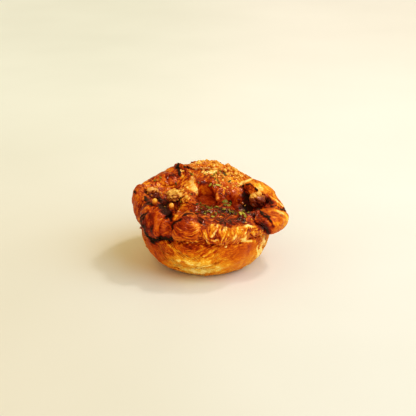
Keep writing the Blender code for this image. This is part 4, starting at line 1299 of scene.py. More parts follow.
@dataclass(frozen=True)
class FloorFinish:
    """The pale, warm surface that it all stands on, with painted light: whiter to the right and the back,
    darker at the front left.

    Its colour turns over within half_width either side and from front to back over depth.
    """

    front_left: tuple = ((0.3, linear(224, 222, 210)), (0.7, linear(228, 226, 216)))
    front_right: tuple = ((0.3, linear(232, 236, 236)), (0.7, linear(236, 240, 242)))
    back_left: tuple = ((0.3, linear(238, 242, 236)), (0.7, linear(242, 246, 240)))
    back_right: tuple = ((0.3, linear(252, 252, 252)), (0.7, linear(255, 255, 255)))
    half_width: float = 170.0
    depth: tuple[float, float] = (-200.0, 500.0)

    def material(self) -> bpy.types.Material:
        """The floor's material."""
        kit = NodeKit("pale_floor")
        at = kit.places()
        cloud = kit.noise(at, 160.0, 2.0)
        across = kit.add("ShaderNodeSeparateXYZ", {}, {0: at}, "X").ease(-self.half_width, self.half_width)
        away = kit.add("ShaderNodeSeparateXYZ", {}, {0: at}, "Y").ease(*self.depth)
        front = kit.mix(across, kit.ramp(cloud, self.front_left), kit.ramp(cloud, self.front_right))
        back = kit.mix(across, kit.ramp(cloud, self.back_left), kit.ramp(cloud, self.back_right))
        rough = 0.6 + (cloud - 0.5) * 0.1
        return kit.finish(Base_Color=kit.mix(away, front, back), Roughness=rough, Specular_IOR_Level=0.2)


# ---------------------------------------------------------------- pieces


@dataclass
class Dough:
    """A piece of dough: its mesh, its plain form, and what the oven did to it.

    relief is the height of its layer steps and crag that of its crags, in millimetres; free is 1
    where marks may move it and 0 where it is fixed; bowl sizes the bowls under the walnuts;
    Its last two fields paint shade: how much darker dough is made where nearby dough hides the sky, and the
    darkest that may get.
    """

    piece: bpy.types.Object
    points: np.ndarray
    normals: np.ndarray
    bake: Bake
    relief: float
    crag: np.ndarray
    free: np.ndarray
    bowl: float = 1.02
    shade_in_shelter: float = 0.42
    darkest_shade: float = 0.80

    def shelter(self) -> np.ndarray:
        """How sheltered each point is, from a look round from one in twelve of them."""
        chosen = np.arange(0, len(self.points), 12)
        chosen = chosen[self.free[chosen] > 0.0]
        value = SOLID.shelter(self.points[chosen], self.normals[chosen])
        tree = KDTree(len(chosen))
        for index, point in enumerate(self.points[chosen]):
            tree.insert(point, index)
        tree.balance()
        result = np.zeros(len(self.points))
        for index in np.nonzero(self.free > 0.0)[0]:
            near = tree.find_n(self.points[index], 4)
            result[index] = sum(value[found[1]] for found in near) / len(near)
        return result

    def bake_on(self, strokes: list[tuple[Stroke, np.ndarray]], material: bpy.types.Material) -> None:
        """Marks and roughens the piece, stores its values and hands it over.

        Args:
            strokes: the marks with their places on the dough.
            material: the crust's finish.
        """
        bake = self.bake
        bake.brown = bake.brown + 0.07 * GRAIN.rough(self.points, 13.0, 2)
        # Painted shade: darker where nearby dough hides the sky, up to a limit.
        sheltered = bake.brown + self.shade_in_shelter * self.shelter()
        bake.brown = np.maximum(bake.brown, np.minimum(sheltered, self.darkest_shade))
        height = self.draw_on(strokes)
        bake.glaze = bake.glaze + 0.25 * GRAIN.at(self.points, 6.0)
        line = np.floor(bake.layer).astype(int)
        plain = np.random.default_rng(7).uniform(0.3, 1.1, 512)[line % 512]
        bake.lines = bake.lines * plain * ease(-0.4, 0.3, GRAIN.at(self.points + 5.0 * line[:, None], 4.5))
        step = bake.layer % 1.0
        profile = ease(0.15, 0.75, step) * (1.0 - ease(0.86, 1.0, step)) - 0.4
        crests = GRAIN.crests(self.points, 4.6) - 0.45
        blisters = FINE_GRAIN.rough(self.points, 1.9, 2)
        height += self.relief * bake.lines * profile + self.crag * (1.5 * crests + 0.5 * blisters)
        height += 0.7 * bake.char * self.free * FINE_GRAIN.crests(self.points, 2.6, 2)
        moved = self.points + self.normals * (height * self.free)[:, None]
        Bench.put(self.piece, sink(moved, self.bowl))
        Bench.store(self.piece, bake.values())
        Bench.smooth(self.piece)
        Bench.hand_over(self.piece, material, "pastry", "pastry")

    def draw_on(self, strokes: list[tuple[Stroke, np.ndarray]]) -> np.ndarray:
        """Lays the marks on the piece, each fading out with a ragged edge.

        Args:
            strokes: the marks with their places on the dough.

        Returns:
            How far they raise each point, in millimetres.
        """
        height = np.zeros(len(self.points))
        low, high = self.points.min(axis=0), self.points.max(axis=0)
        wander = GRAIN.rough(self.points, 3.0, 2)
        shifts = [FINE_GRAIN.rough(self.points + 17.0 * axis, 2.4, 2) for axis in range(3)]
        shifted = self.points + 0.4 * np.column_stack(shifts)
        for stroke, line in strokes:
            margin = 3.0 * stroke.width
            if (line.max(axis=0) < low - margin).any() or (line.min(axis=0) > high + margin).any():
                continue
            away = distance_to_line(shifted, line) * (1.0 + 0.45 * wander) / stroke.width
            burnt = stroke.mark in (Mark.CHAR, Mark.ASH)
            sharpness = 1.7 if burnt else 2.4
            share = np.exp(-0.7 * np.maximum(away, 0.0) ** sharpness)
            if burnt and stroke.width > 0.7:
                share = share * (0.35 + 0.65 * ease(-0.6, 0.3, FINE_GRAIN.rough(self.points, 1.7, 2)))
            self.bake.mark(stroke.mark, stroke.strength * share)
            height += stroke.height * share
        return height


def sink(points: np.ndarray, ease_out: float) -> np.ndarray:
    """The points, those over a walnut pressed down to the bowl that it sits in.

    Args:
        points: places on the dough.
        ease_out: size of the bowl against the walnut's.

    Returns:
        The pressed places.
    """
    result = points.copy()
    for walnut in WALNUTS:
        half = np.array(walnut.half_size) * ease_out
        away = result - np.array(walnut.middle)
        flat = (away @ walnut.spin().T)[:, :2] / half[:2]
        span = (flat**2).sum(axis=1)
        bowl = walnut.middle[2] - half[2] * np.sqrt(np.clip(1.0 - span, 0.0, 1.0))
        over = (span < 1.0) & (result[:, 2] > bowl) & (away[:, 2] < 14.0)
        result[over, 2] = bowl[over]
    return result


def oven(azimuth: np.ndarray, station: np.ndarray) -> tuple[np.ndarray, np.ndarray]:
    """How brown and how glazed the dough is at each place of its skin.

    Args:
        azimuth: degrees round the middle, 0 to 360.
        station: stations.

    Returns:
        Brown and glaze, before marks.
    """
    stops, tones = (0.0, 2.0, 3.2, 4.2, 5.0, 6.0, 7.4), (0.30, 0.29, 0.27, 0.31, 0.42, 0.48, 0.52)
    cup = np.interp(station, stops, tones)
    low = 1.0 - ease(5.0, 6.4, station)
    cup = cup + swell_sum(azimuth, (Swell(218, 22, 0.2), Swell(308, 22, 0.08), Swell(75, 40, 0.06))) * low
    stops = (7.0, 8.5, 10.0, 11.5, 12.6, 13.6, 14.5, 17.0)
    tones = (0.56, 0.5, 0.52, 0.58, 0.66, 0.70, 0.72, 0.74)
    crown = np.interp(station, stops, tones)
    crown = crown + swell_sum(azimuth, (Swell(88, 35, -0.08), Swell(278, 40, 0.16), Swell(12, 20, 0.06)))
    brown = np.where(station < 7.2, cup, crown)
    glaze = np.interp(station, [0.0, 6.5, 8.5, 11.0, 12.5, 15.0], [0.0, 0.08, 0.2, 0.35, 0.6, 0.8])
    glaze = glaze + swell_sum(azimuth, (Swell(280, 45, 0.15), Swell(88, 35, -0.15))) * (station > 8.0)
    return brown, glaze


@dataclass
class Wrap:
    """A ball drawn over the skin from one station to another, closed by a lid inside the dough.

    lid_up is 1 for a lid over the top, which rises, and -1 for one under the foot, which sinks.
    """

    name: str
    cells: tuple[int, int]
    foot: float
    top: float
    lid_up: int
    lid: float = 0.05
    lid_rise: float = 0.06

    def __post_init__(self) -> None:
        """Shapes the ball."""
        self.piece = Bench.ball(self.name, *self.cells)
        ball = Bench.points(self.piece)
        self.azimuth = azimuth_of(ball)
        share = 1.0 - np.arccos(np.clip(ball[:, 2], -1.0, 1.0)) / math.pi
        on_top = self.lid_up > 0
        shown = (share if on_top else share - self.lid) / (1.0 - self.lid)
        self.station = SKIN.even(shown, self.foot, self.top)
        hidden = share - 1.0 + self.lid if on_top else self.lid - share
        self.inward = np.clip(hidden / self.lid, 0.0, 1.0)
        points = SKIN.point(self.azimuth, self.station)
        self.normals = SKIN.normal(self.azimuth, self.station)
        points += self.normals * SKIN.unevenness(self.azimuth, self.station)[:, None]
        points[:, 2] = np.maximum(points[:, 2], 0.0)
        middle = np.array([*SKIN.cup_centre, 0.0])
        narrowed, raised = 1.0 - self.inward, 1.0 + self.lid_up * self.lid_rise * self.inward
        self.points = middle + (points - middle) * np.column_stack([narrowed, narrowed, raised])


@dataclass
class Cup:
    """The part of the dough that took the tin's shape, closed inside under the crown."""

    cells: tuple[int, int] = (470, 180)
    top: float = 7.3
    layers: Layers = Layers(1.25, wander=1.5, relief=0.28, contrast=1.0)
    sag: tuple = (Swell(257, 20, 14.0), Swell(120, 30, 9.0), Swell(20, 24, -8.0))
    plain: tuple = (Swell(307, 18, 1.0), Swell(212, 13, 0.75), Swell(75, 16, 0.8), Swell(160, 12, 0.7))

    def build(self) -> Dough:
        """Shapes the cup."""
        wrap = Wrap("dough_cup", self.cells, 0.0, self.top, 1)
        points, azimuth, station = wrap.points, wrap.azimuth, wrap.station
        free = np.where(wrap.inward > 0.0, 0.0, ease(1.9, 2.3, station))
        bake = Bake.plain(len(points))
        bake.brown, bake.glaze = oven(azimuth, station)
        bake.flake = 0.08 + 0.36 * (1.0 - ease(1.5, 9.0, points[:, 2]))
        bake.flake = bake.flake + swell_sum(azimuth, (Swell(332, 8, 0.4),))
        smooth = np.clip(swell_sum(azimuth, self.plain), 0.0, 1.0) * ease(4.0, 9.0, points[:, 2])
        bake.lines = self.layers.contrast * (1.0 - 0.9 * smooth)
        rise = points[:, 2] + swell_sum(azimuth, self.sag) * ease(2.0, 14.0, points[:, 2])
        bake.layer = self.layers.count(np.zeros(len(points)), rise, points)
        bake.mottle = 0.62 - 0.36 * smooth
        streaks = lumps(np.column_stack([azimuth, 0.0 * azimuth, 0.03 * points[:, 2]]), 7.0, 41)
        bake.brown = bake.brown + 0.06 * streaks * smooth
        crag = 0.06 + 0.16 * (1.0 - smooth)
        return Dough(wrap.piece, points, wrap.normals, bake, self.layers.relief, crag, free)


@dataclass
class Crown:
    """The overhanging rim, its troughs and the crater's wall, closed inside over the cup."""

    cells: tuple[int, int] = (450, 210)
    foot: float = 7.0
    layers: Layers = Layers(1.9, wander=2.0, relief=0.22, contrast=0.6)

    def build(self) -> Dough:
        """Shapes the crown."""
        wrap = Wrap("dough_crown", self.cells, self.foot, SKIN.last, -1)
        points, azimuth, station = wrap.points, wrap.azimuth, wrap.station
        free = np.where(wrap.inward > 0.0, 0.0, 1.0 - 0.8 * ease(14.0, 15.5, station))
        free = free * ease(self.foot, self.foot + 0.3, station)
        bake = Bake.plain(len(points))
        bake.brown, bake.glaze = oven(azimuth, station)
        # Painted shade: darker where the hollows dent the skin.
        bake.brown = bake.brown + 0.025 * SKIN.hollow_depth(azimuth, station)
        bake.mottle = 1.0 - 0.5 * ease(13.6, 15.0, station)
        bake.flake = 0.2 + swell_sum(azimuth, (Swell(80, 40, 0.25),)) - 0.3 * ease(12.5, 14.5, station)
        bake.lines = self.layers.contrast * (1.0 - 0.85 * ease(11.2, 12.4, station))
        bake.layer = self.layers.count(0.0 * azimuth, 7.0 * station, points)
        crag = np.interp(station, [7.0, 9.0, 12.0, 13.4, 14.2, 15.0], [0.15, 0.25, 0.42, 0.3, 0.12, 0.06])
        crag = crag * (1.0 - 0.6 * np.clip(SKIN.hollow_depth(azimuth, station) / 5.0, 0.0, 1.0))
        return Dough(wrap.piece, points, wrap.normals, bake, self.layers.relief, crag, free)


@dataclass
class FoldPiece:
    """A fold of dough as a piece of its own, with faces of a cell's size and its root in the dough."""

    fold: Fold
    cell: float = 0.3
    root: float = -2.0
    bowl: float = 1.14

    def build(self) -> Dough:
        """Shapes the fold."""
        fold = self.fold
        half_width, half_length = fold.half_size()
        cells = [int(np.clip(2.0 * half / self.cell, 24, 170)) for half in (half_width, half_length)]
        piece = Bench.slab("fold_" + fold.name, *cells)
        flat = Bench.points(piece)
        upper = flat[:, 2] > 0.5
        drawn = np.where(upper, 1.0, 0.93)
        across, up = flat[:, 0] * drawn, flat[:, 1] * drawn
        azimuth, station, heading = fold.place(across, up)
        station = np.clip(station, 0.0, SKIN.last)
        points, normals = SKIN.point(azimuth, station), SKIN.normal(azimuth, station)
        height = fold.height(across, up, heading)
        points += normals * np.where(upper, height, self.root)[:, None]
        reach = np.maximum(np.abs(across), np.abs(up))
        brown, glaze = oven(azimuth % 360.0, station)
        bake = Bake.plain(len(points), fold.brown, fold.glaze, fold.flake, fold.char)
        # Painted shade: darker where the fold lies low, near where it meets the dough.
        bake.brown = 0.75 * bake.brown + 0.25 * brown + 0.14 * (1.0 - ease(-0.5, 1.2, height))
        bake.mottle = fold.mottle * bake.mottle
        bake.glaze = 0.75 * bake.glaze + 0.25 * glaze
        rim = ease(0.86, 1.0, reach)
        bake.flake = bake.flake + 0.35 * rim * ease(0.3, 1.5, height)
        bake.char = bake.char * (0.75 + 0.25 * reach)
        side, rise = across * half_width, up * half_length
        bake.layer = fold.layers.count(side, rise, points) + np.where(upper, 0.0, 3.2)
        bake.lines = np.where(upper, fold.layers.contrast, 1.0)
        crag = fold.crag * (1.0 - 0.5 * rim)
        free = np.where(upper, 1.0, 0.0)
        return Dough(piece, points, normals, bake, fold.layers.relief, crag, free, self.bowl)


class Patch(NamedTuple):
    """A stretch of skin where small things lie: middle, spreads, how many and how large."""

    azimuth: float
    station: float
    arc: float
    run: float
    count: int
    half_size: float


class Lying(NamedTuple):
    """Where a small thing lies on the crust."""

    point: Vector
    normal: Vector
    size: float
    turn: float


@dataclass
class Toppings:
    """Small things stuck to the crust: nut crumbs, herb slivers and crisp flakes.

    A sliver is at most longest, lies on a line with no gap over widest_gap, and its middle stands
    off the crust by lift times its half height. looks are steps in the picture round a place, to
    even out its normal. Scattered things drop onto the crust from a height of drop. Each row of
    patches holds a Patch's numbers.
    """

    carriers: list[bpy.types.Object]
    longest: float = 4.6
    widest_gap: float = 9.0
    lift: float = 1.2
    looks: tuple = ((0.0, 0.0), (1.2, 0.0), (-1.2, 0.0), (0.0, 1.2), (0.0, -1.2))
    drop: float = 12.0
    crumb_patches: tuple = (
        (66, 11.4, 18, 0.8, 30, 1.15), (76, 10.9, 28, 0.6, 26, 1.25), (52, 12.5, 18, 0.8, 18, 0.9),
        (160, 12.4, 12, 0.5, 5, 1.1), (200, 12.9, 12, 0.4, 5, 1.0), (120, 12.2, 10, 0.6, 3, 1.0),
    )
    herb_patches: tuple = (
        (268, 13.0, 26, 0.9, 8, 1.7), (310, 12.6, 14, 0.7, 4, 1.6), (78, 12.4, 16, 0.7, 4, 1.5),
        (150, 11.6, 10, 0.5, 2, 1.3), (285, 12.8, 34, 0.9, 26, 0.7), (78, 12.3, 20, 0.9, 16, 0.7),
        (190, 12.6, 26, 0.8, 8, 0.6),
    )
    fine_patches: tuple = (
        (64, 11.8, 26, 1.2, 90, 0.6), (195, 12.6, 20, 0.7, 18, 0.45), (100, 11.6, 16, 0.9, 16, 0.45),
    )
    flake_patches: tuple = (
        (258, 3.6, 26, 1.2, 9, 1.8), (332, 5.2, 8, 1.4, 4, 1.6), (304, 8.0, 18, 0.5, 6, 1.1),
        (88, 10.6, 28, 1.0, 14, 1.5), (160, 4.6, 60, 2.0, 14, 1.7), (60, 4.6, 60, 2.0, 14, 1.7),
        (60, 8.4, 60, 0.6, 8, 1.5),
    )

    def __post_init__(self) -> None:
        """Reads the carriers' meshes."""
        bpy.context.view_layer.update()
        graph = bpy.context.evaluated_depsgraph_get()
        self.trees = [BVHTree.FromObject(piece, graph) for piece in self.carriers]

    def seen(self, across: float, down: float) -> Optional[tuple[np.ndarray, np.ndarray]]:
        """The place on the crust that shows at a place in the picture, and its normal there."""
        found = []
        for aside, below in self.looks:
            ray = VIEW.ray(across + aside, down + below)
            hit = nearest(self.trees, VIEW.place() * MM, ray, VIEW.reach)
            if hit:
                found.append(hit)
            elif not found:
                return None
        normal = sum((hit[1] for hit in found), Vector()) + 0.4 * found[0][1] - 0.3 * VIEW.forward()
        return np.array(found[0][0]) / MM, np.array(normal.normalized())

    def slivers(self) -> bpy.types.Object:
        """Slivers of herb along the lines where they show."""
        shape = Bench.ball("herb_slivers", 10, 26)
        ball = Bench.points(shape)
        placed = []
        for strip in HERB_STRIPS:
            found = [hit for hit in (self.seen(*place) for place in strip.line) if hit]
            line = np.array([hit[0] for hit in found])
            if len(line) < 2 or np.linalg.norm(np.diff(line, axis=0), axis=1).max() > self.widest_gap:
                LOG.info("left out the sliver at %s", strip.line[0])
                continue
            outs = np.array([hit[1] for hit in found])
            for _ in range(3):
                line, outs = self.rounded(line), self.rounded(outs)
            run = np.concatenate([[0.0], np.cumsum(np.linalg.norm(np.diff(line, axis=0), axis=1))])
            kept = min(1.0, self.longest / run[-1])
            length = (0.5 + 0.5 * ball[:, 2] * kept) * run[-1]
            along, out = walk(length, run, line), walk(length, run, outs)
            way = unit(walk(length + 0.4, run, line) - walk(length - 0.4, run, line))
            out = unit(out - way * np.einsum("ij,ij->i", out, way)[:, None])
            side = np.cross(out, way)
            rough = FINE_GRAIN.rough(along + 2.0 * ball[:, :1] * side, 1.6, 2)
            wide = ball[:, 0] * strip.half_width * (1.0 + 0.4 * rough)
            high = ball[:, 1] * (1.0 + 0.3 * rough) + self.lift + 0.25 * (1.0 - ball[:, 2] ** 2)
            high = high * strip.half_height
            placed.append((along + side * wide[:, None] + out * high[:, None], strip.tint))
        return self.copies("herb_slivers", shape, placed)

    @staticmethod
    def rounded(line: np.ndarray) -> np.ndarray:
        """The line with its corners cut and its ends kept."""
        near, far = line[:-1], line[1:]
        cut = np.stack([0.75 * near + 0.25 * far, 0.25 * near + 0.75 * far], axis=1).reshape(-1, 3)
        return np.vstack([line[:1], cut, line[-1:]])

    def nuggets(self) -> bpy.types.Object:
        """Lumps of nut and crisp crumb where they show."""
        shape = Bench.bead("nut_nuggets", 3)
        ball = Bench.points(shape)
        placed = []
        for index, nugget in enumerate(NUGGETS):
            hit = self.seen(nugget.across, nugget.down)
            if hit:
                lying = Lying(Vector(hit[0]), Vector(hit[1]), nugget.half_size, 67.0 * index)
                body = self.lump(ball, 5.1 * index) * (0.9, 0.6375, 0.5625) * lying.size
                placed.append((self.lay(body, lying, 0.05 * lying.size), nugget.tint - 0.15))
        return self.copies("nut_nuggets", shape, placed)

    def places(self, patches: tuple, seed: int) -> Iterable[Lying]:
        """Places on the outer skin, drawn as the solid's are."""
        draw = np.random.default_rng(seed)
        for patch in (Patch(*row) for row in patches):
            for _ in range(patch.count):
                where = np.array([patch.azimuth + patch.arc * draw.uniform(-1.0, 1.0)])
                level = np.array([patch.station + patch.run * draw.uniform(-1.0, 1.0)])
                size = patch.half_size * draw.uniform(0.55, 1.3)
                turn = draw.uniform(0.0, 180.0)
                normal = Vector(SKIN.normal(where, level)[0])
                start = Vector(SKIN.point(where, level)[0]) + normal * self.drop
                hit = nearest(self.trees, start * MM, -normal, 2.0 * self.drop * MM)
                if hit:
                    yield Lying(hit[0] / MM, normal, size, turn)

    @staticmethod
    def copies(name: str, shape: bpy.types.Object, placed: list) -> bpy.types.Object:
        """One piece with a copy of a shape for each set of points.

        Args:
            name: the piece's name.
            shape: the shape, which is used up.
            placed: each copy's points in millimetres, and its tone.

        Returns:
            The joined piece.
        """
        copies = []
        for points, tint in placed:
            copy = Bench.link(name, shape.data.copy())
            Bench.put(copy, points)
            Bench.store(copy, {"tint": np.full(len(points), tint)})
            copies.append(copy)
        bpy.data.objects.remove(shape)
        piece = Bench.join(copies, name)
        Bench.smooth(piece)
        return piece

    @staticmethod
    def lay(form: np.ndarray, lying: Lying, off: float) -> np.ndarray:
        """The points of a thing where it lies, its X along, its Y beside and its Z out of the crust."""
        facing = lying.normal.to_track_quat("Z", "Y").to_matrix()
        turned = facing @ Matrix.Rotation(math.radians(lying.turn), 3, "Z")
        return np.array(lying.point + lying.normal * off) + form @ np.array(turned.transposed())

    @staticmethod
    def lump(ball: np.ndarray, phase: float) -> np.ndarray:
        """A ball made uneven, in its own way for each phase."""
        return ball * (1.0 + 0.5 * FINE_GRAIN.rough(ball + phase, 0.95, 3))[:, None]

    @staticmethod
    def varied(index: int, low: float, range_up: float) -> float:
        """A tone from low up, evenly spread over the things by their number."""
        return low + range_up * ((index * 0.618) % 1.0)

    def crumbs(self, name: str, patches: tuple, seed: int, subdivisions: int) -> bpy.types.Object:
        """Nut crumbs, each its own uneven lump."""
        shape = Bench.bead(name, subdivisions)
        ball = Bench.points(shape)
        placed = []
        for index, lying in enumerate(self.places(patches, seed)):
            body = self.lump(ball, 3.7 * index) * (1.15, 0.85, 0.75) * lying.size
            placed.append((self.lay(body, lying, 0.12 * lying.size), self.varied(index, 0.25, 0.5)))
        return self.copies(name, shape, placed)

    def herbs(self) -> bpy.types.Object:
        """Slivers of herb: pointed leaves, bent and lifted at one end."""
        shape = Bench.bead("herb_scatter", 3)
        ball = Bench.points(shape)
        placed = []
        for index, lying in enumerate(self.places(self.herb_patches, 11)):
            length = ball[:, 0]
            width = 0.45 * (1.0 - 0.75 * np.abs(length) ** 1.6)
            curl = 0.28 * math.sin(2.4 * index + 0.7)
            body = np.column_stack([
                length * lying.size * 1.1,
                (ball[:, 1] * width + curl * (length**2 - 0.4)) * lying.size,
                ball[:, 2] * 0.22 + (0.16 * np.sin(3.0 * length + index) + 0.14 * length**2) * lying.size,
            ])
            placed.append((self.lay(body, lying, 0.3), self.varied(index, 0.2, 0.6)))
        return self.copies("herb_scatter", shape, placed)

    def flakes(self) -> bpy.types.Object:
        """Crisp flakes: thin curled sheets, rooted in the crust along its layers."""
        shape = Bench.slab("crisp_flakes", 6, 3)
        sheet = Bench.points(shape)
        along, out = sheet[:, 0], 0.5 * (sheet[:, 1] + 1.0)
        half_width = 1.0 - 0.55 * along**2
        placed = []
        draw = np.random.default_rng(23)
        for index, lying in enumerate(self.places(self.flake_patches, 17)):
            lying = lying._replace(turn=draw.uniform(-24.0, 24.0))
            lift, curl = draw.uniform(0.1, 0.45), draw.uniform(-0.3, 0.3)
            body = np.column_stack([
                along * lying.size * (0.9 + 0.2 * out),
                (out * half_width * 0.75 - 0.1) * lying.size * draw.uniform(0.5, 1.0),
                (out * lift + curl * along * out + 0.08 * np.sin(5.0 * along + index)) * lying.size
                + (sheet[:, 2] - 0.7) * 0.22,
            ])
            placed.append((self.lay(body, lying, 0.0), draw.uniform(0.05, 0.5)))
        return self.copies("crisp_flakes", shape, placed)


@dataclass
class Filling:
    """The set filling in the crater, up to its level: how far it sags and reaches into the wall."""

    sag: float = 0.9
    overlap: float = 0.5

    def build(self) -> bpy.types.Object:
        """Shapes the filling."""
        piece = Bench.ball("set_filling", 96, 40)
        ball = Bench.points(piece)
        azimuth = azimuth_of(ball)
        share = np.hypot(ball[:, 0], ball[:, 1])
        top = ball[:, 2] > -0.02
        wall = SKIN.point(azimuth, np.where(top, 15.0, 16.0))
        middle = np.array(SKIN.crater_centre)
        reach = np.linalg.norm(wall[:, :2] - middle, axis=1) + self.overlap
        height = np.where(top, SKIN.filling_level - self.sag * (1.0 - share**2), SKIN.crater_floor + 2.6)
        turn = np.radians(azimuth)
        x, y = middle[0] + share * reach * np.cos(turn), middle[1] + share * reach * np.sin(turn)
        points = np.column_stack([x, y, height])
        points[:, 2] += 0.25 * GRAIN.at(points, 3.5) * top * (1.0 - share**4)
        Bench.put(piece, points)
        Bench.smooth(piece, 70.0)
        return piece


@dataclass(frozen=True)
class Walnut:
    """A piece of walnut: node, middle, half sizes, turn, seed, how pale, where its golden bead shows."""

    node: str
    middle: tuple[float, float, float]
    half_size: tuple[float, float, float]
    turn: float
    seed: int
    pale: float
    bead: Optional[tuple[float, float]] = None

    def spin(self) -> np.ndarray:
        """Rows that turn points on the walnut's own axes to where they are."""
        cos, sin = math.cos(math.radians(self.turn)), math.sin(math.radians(self.turn))
        return np.array([[cos, sin, 0.0], [-sin, cos, 0.0], [0.0, 0.0, 1.0]])

    def nut(self) -> bpy.types.Object:
        """A ball with deep winding furrows."""
        piece = Bench.bead(self.node + "_nut", 6)
        ball = Bench.points(piece)
        winding = np.abs(lumps(ball, 1.15, self.seed)) ** 0.7
        crag = np.clip(0.74 + 0.34 * winding + 0.10 * lumps(ball, 0.7, self.seed + 20), 0.62, 1.0)
        furrows = Grain(self.seed).crests(ball, 0.55, 2)
        fine = FINE_GRAIN.rough(ball * 4.0 + self.seed, 0.8, 2)
        form = crag + 0.05 * (furrows - 0.4) + 0.015 * fine
        points = ball * form[:, None] * np.array(self.half_size)
        Bench.put(piece, points @ self.spin() + np.array(self.middle))
        # Painted light: the walnut is paler towards its top and back, darker below.
        crown = 0.5 + 0.85 * ease(0.0, 0.85, ball[:, 2] + 0.35 * ball[:, 1])
        tone = (0.45 + 0.55 * ease(0.62, 0.95, form)) * crown * self.pale + 0.1 * fine
        Bench.store(piece, {"brown": tone, "glaze": 0.9 * ease(0.7, 0.9, crag)})
        Bench.smooth(piece, 80.0)
        return piece

    def nib(self, toppings: Toppings) -> Optional[bpy.types.Object]:
        """The golden bead stuck to it, where it shows.

        Args:
            toppings: what finds places on the crust.
        """
        place = self.bead and toppings.seen(*self.bead)
        if not place:
            return None
        piece = Bench.bead(self.node + "_bead", 4)
        ball = Bench.points(piece)
        form = 1.0 + 0.06 * FINE_GRAIN.rough(ball, 0.9, 2)
        middle = place[0] + 0.3 * place[1] - 1.0 * np.array(VIEW.forward())
        Bench.put(piece, ball * form[:, None] * np.array([1.75, 1.75, 2.35]) + middle)
        # Painted light: the bead is paler towards its top and front.
        Bench.store(piece, {"tint": 0.08 + 0.5 * ease(-0.1, 0.95, ball[:, 2] - 0.4 * ball[:, 1])})
        Bench.smooth(piece, 80.0)
        return piece


WALNUTS = (
    Walnut("walnut_left_outer", (-37.8, 0.2, 46.6), (5.0, 5.4, 4.6), 20, 3, 0.70, (154.7, 202.1)),
    Walnut("walnut_left_inner", (-23.4, -3.8, 47.2), (5.4, 4.8, 4.4), -25, 5, 1.85, (171.3, 206.6)),
    Walnut("walnut_right", (31.8, 0.2, 42.6), (6.0, 5.6, 5.4), 35, 9, 0.84),
)


@dataclass(frozen=True)
class Lamp:
    """A soft square light: name, place and size in millimetres, watts, colour, and only for shine or not."""

    name: str
    place: tuple[float, float, float]
    size: float
    watts: float
    colour: tuple[float, float, float]
    shine_only: bool = False

    def hang(self) -> None:
        """Adds the light, facing the pastry."""
        data = bpy.data.lights.new(self.name, "AREA")
        data.shape = "SQUARE"
        data.size = self.size * MM
        data.energy = self.watts
        data.color = self.colour
        lamp = Bench.link(self.name, data)
        lamp.visible_diffuse = not self.shine_only
        lamp.location = Vector(self.place) * MM
        way = Vector((0.0, 0.0, 25.0)) - Vector(self.place)
        lamp.rotation_euler = way.to_track_quat("-Z", "Y").to_euler()


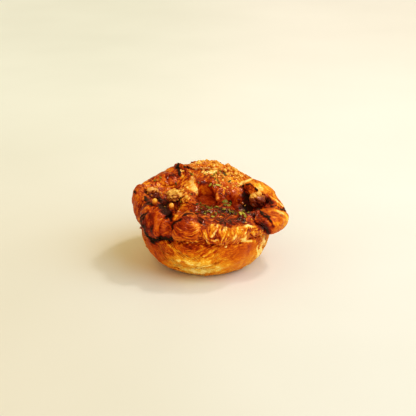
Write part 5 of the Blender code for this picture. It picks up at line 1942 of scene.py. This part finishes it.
@dataclass(frozen=True)
class Studio:
    """The floor, the lights and the camera."""

    lamps: tuple = (
        Lamp("fill", (-100.0, -1400.0, 330.0), 900.0, 3.0, (1.0, 0.90, 0.66)),
        Lamp("high", (300.0, 60.0, 640.0), 80.0, 0.75, (1.0, 0.93, 0.86)),
        Lamp("glint", (300.0, 60.0, 640.0), 80.0, 2.2, (1.0, 0.93, 0.86), True),
    )
    window: tuple[float, float, float] = (600.0, -290.0, 640.0)
    window_watts: float = 1.25
    window_spread: float = 58.0
    window_colour: tuple[float, float, float] = (0.70, 0.91, 1.25)
    sky: tuple[float, float, float] = (1.0, 0.80, 0.42)
    sky_strength: float = 0.63
    floor_half: float = 3000.0

    def set_up(self) -> None:
        """Makes the floor, hangs the lights and stands the camera up."""
        Bench.deselect()
        bpy.ops.mesh.primitive_grid_add(x_subdivisions=40, y_subdivisions=40, size=2.0)
        floor = Bench.named("floor")
        points = Bench.points(floor) * self.floor_half
        points[:, 2] = -0.05
        Bench.put(floor, points)
        floor.data.materials.append(FloorFinish().material())
        floor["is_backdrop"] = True
        for lamp in self.lamps:
            lamp.hang()
        light = bpy.data.lights.new("window", "SUN")
        light.energy = self.window_watts
        light.angle = math.radians(self.window_spread)
        light.color = self.window_colour
        window = Bench.link("window", light)
        window.rotation_euler = (-Vector(self.window)).to_track_quat("-Z", "Y").to_euler()
        world = bpy.data.worlds.new("soft_room")
        world.use_nodes = True
        background = world.node_tree.nodes["Background"]
        background.inputs["Color"].default_value = (*self.sky, 1.0)
        background.inputs["Strength"].default_value = self.sky_strength
        scene = bpy.context.scene
        scene.world = world
        scene.view_settings.view_transform = "Standard"
        scene.view_settings.look = "Medium High Contrast"
        scene.view_settings.exposure = 0.0
        data = bpy.data.cameras.new("camera")
        data.lens = VIEW.lens
        data.sensor_width = VIEW.sensor
        data.clip_end = 20.0
        camera = Bench.link("camera", data)
        camera.location = VIEW.place() * MM
        camera.rotation_euler = VIEW.forward().to_track_quat("-Z", "Y").to_euler()
        scene.camera = camera


def main() -> None:
    """Builds, bakes and lights the pastry."""
    logging.basicConfig(level=logging.INFO, format="%(message)s")
    strokes = marked_lines()
    LOG.info("%d marks", len(strokes))
    crust = CrustFinish().material()
    doughs = [Cup().build(), Crown().build()]
    doughs += [FoldPiece(fold).build() for fold in FOLDS]
    for dough in doughs:
        dough.bake_on(strokes, crust)
    nib, nut, herb = NIB_FINISH.material(), NUT_FINISH.material(), HERB_FINISH.material()
    carriers = [dough.piece for dough in doughs]
    carriers.append(Filling().build())
    Bench.hand_over(carriers[-1], FILLING_FINISH.material(), "filling", "filling")
    for walnut in WALNUTS:
        carriers.append(walnut.nut())
        Bench.hand_over(carriers[-1], nut, "walnut", walnut.node)
    toppings = Toppings(carriers)
    for walnut in WALNUTS:
        bead = walnut.nib(toppings)
        if bead:
            Bench.hand_over(bead, nib, "walnut", walnut.node)
    for piece, finish in (
        (toppings.crumbs("nut_crumbs", toppings.crumb_patches, 7, 3), nib),
        (toppings.crumbs("fine_crumbs", toppings.fine_patches, 29, 2), nib),
        (toppings.nuggets(), nib),
        (toppings.flakes(), nib),
        (toppings.herbs(), herb),
        (toppings.slivers(), herb),
    ):
        Bench.hand_over(piece, finish, "pastry", "pastry")
    Studio().set_up()
    boxes = [[[float(value) for value in corner] for corner in box] for box in (SOLID_BOX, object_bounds())]


if __name__ == "__main__":
    main()
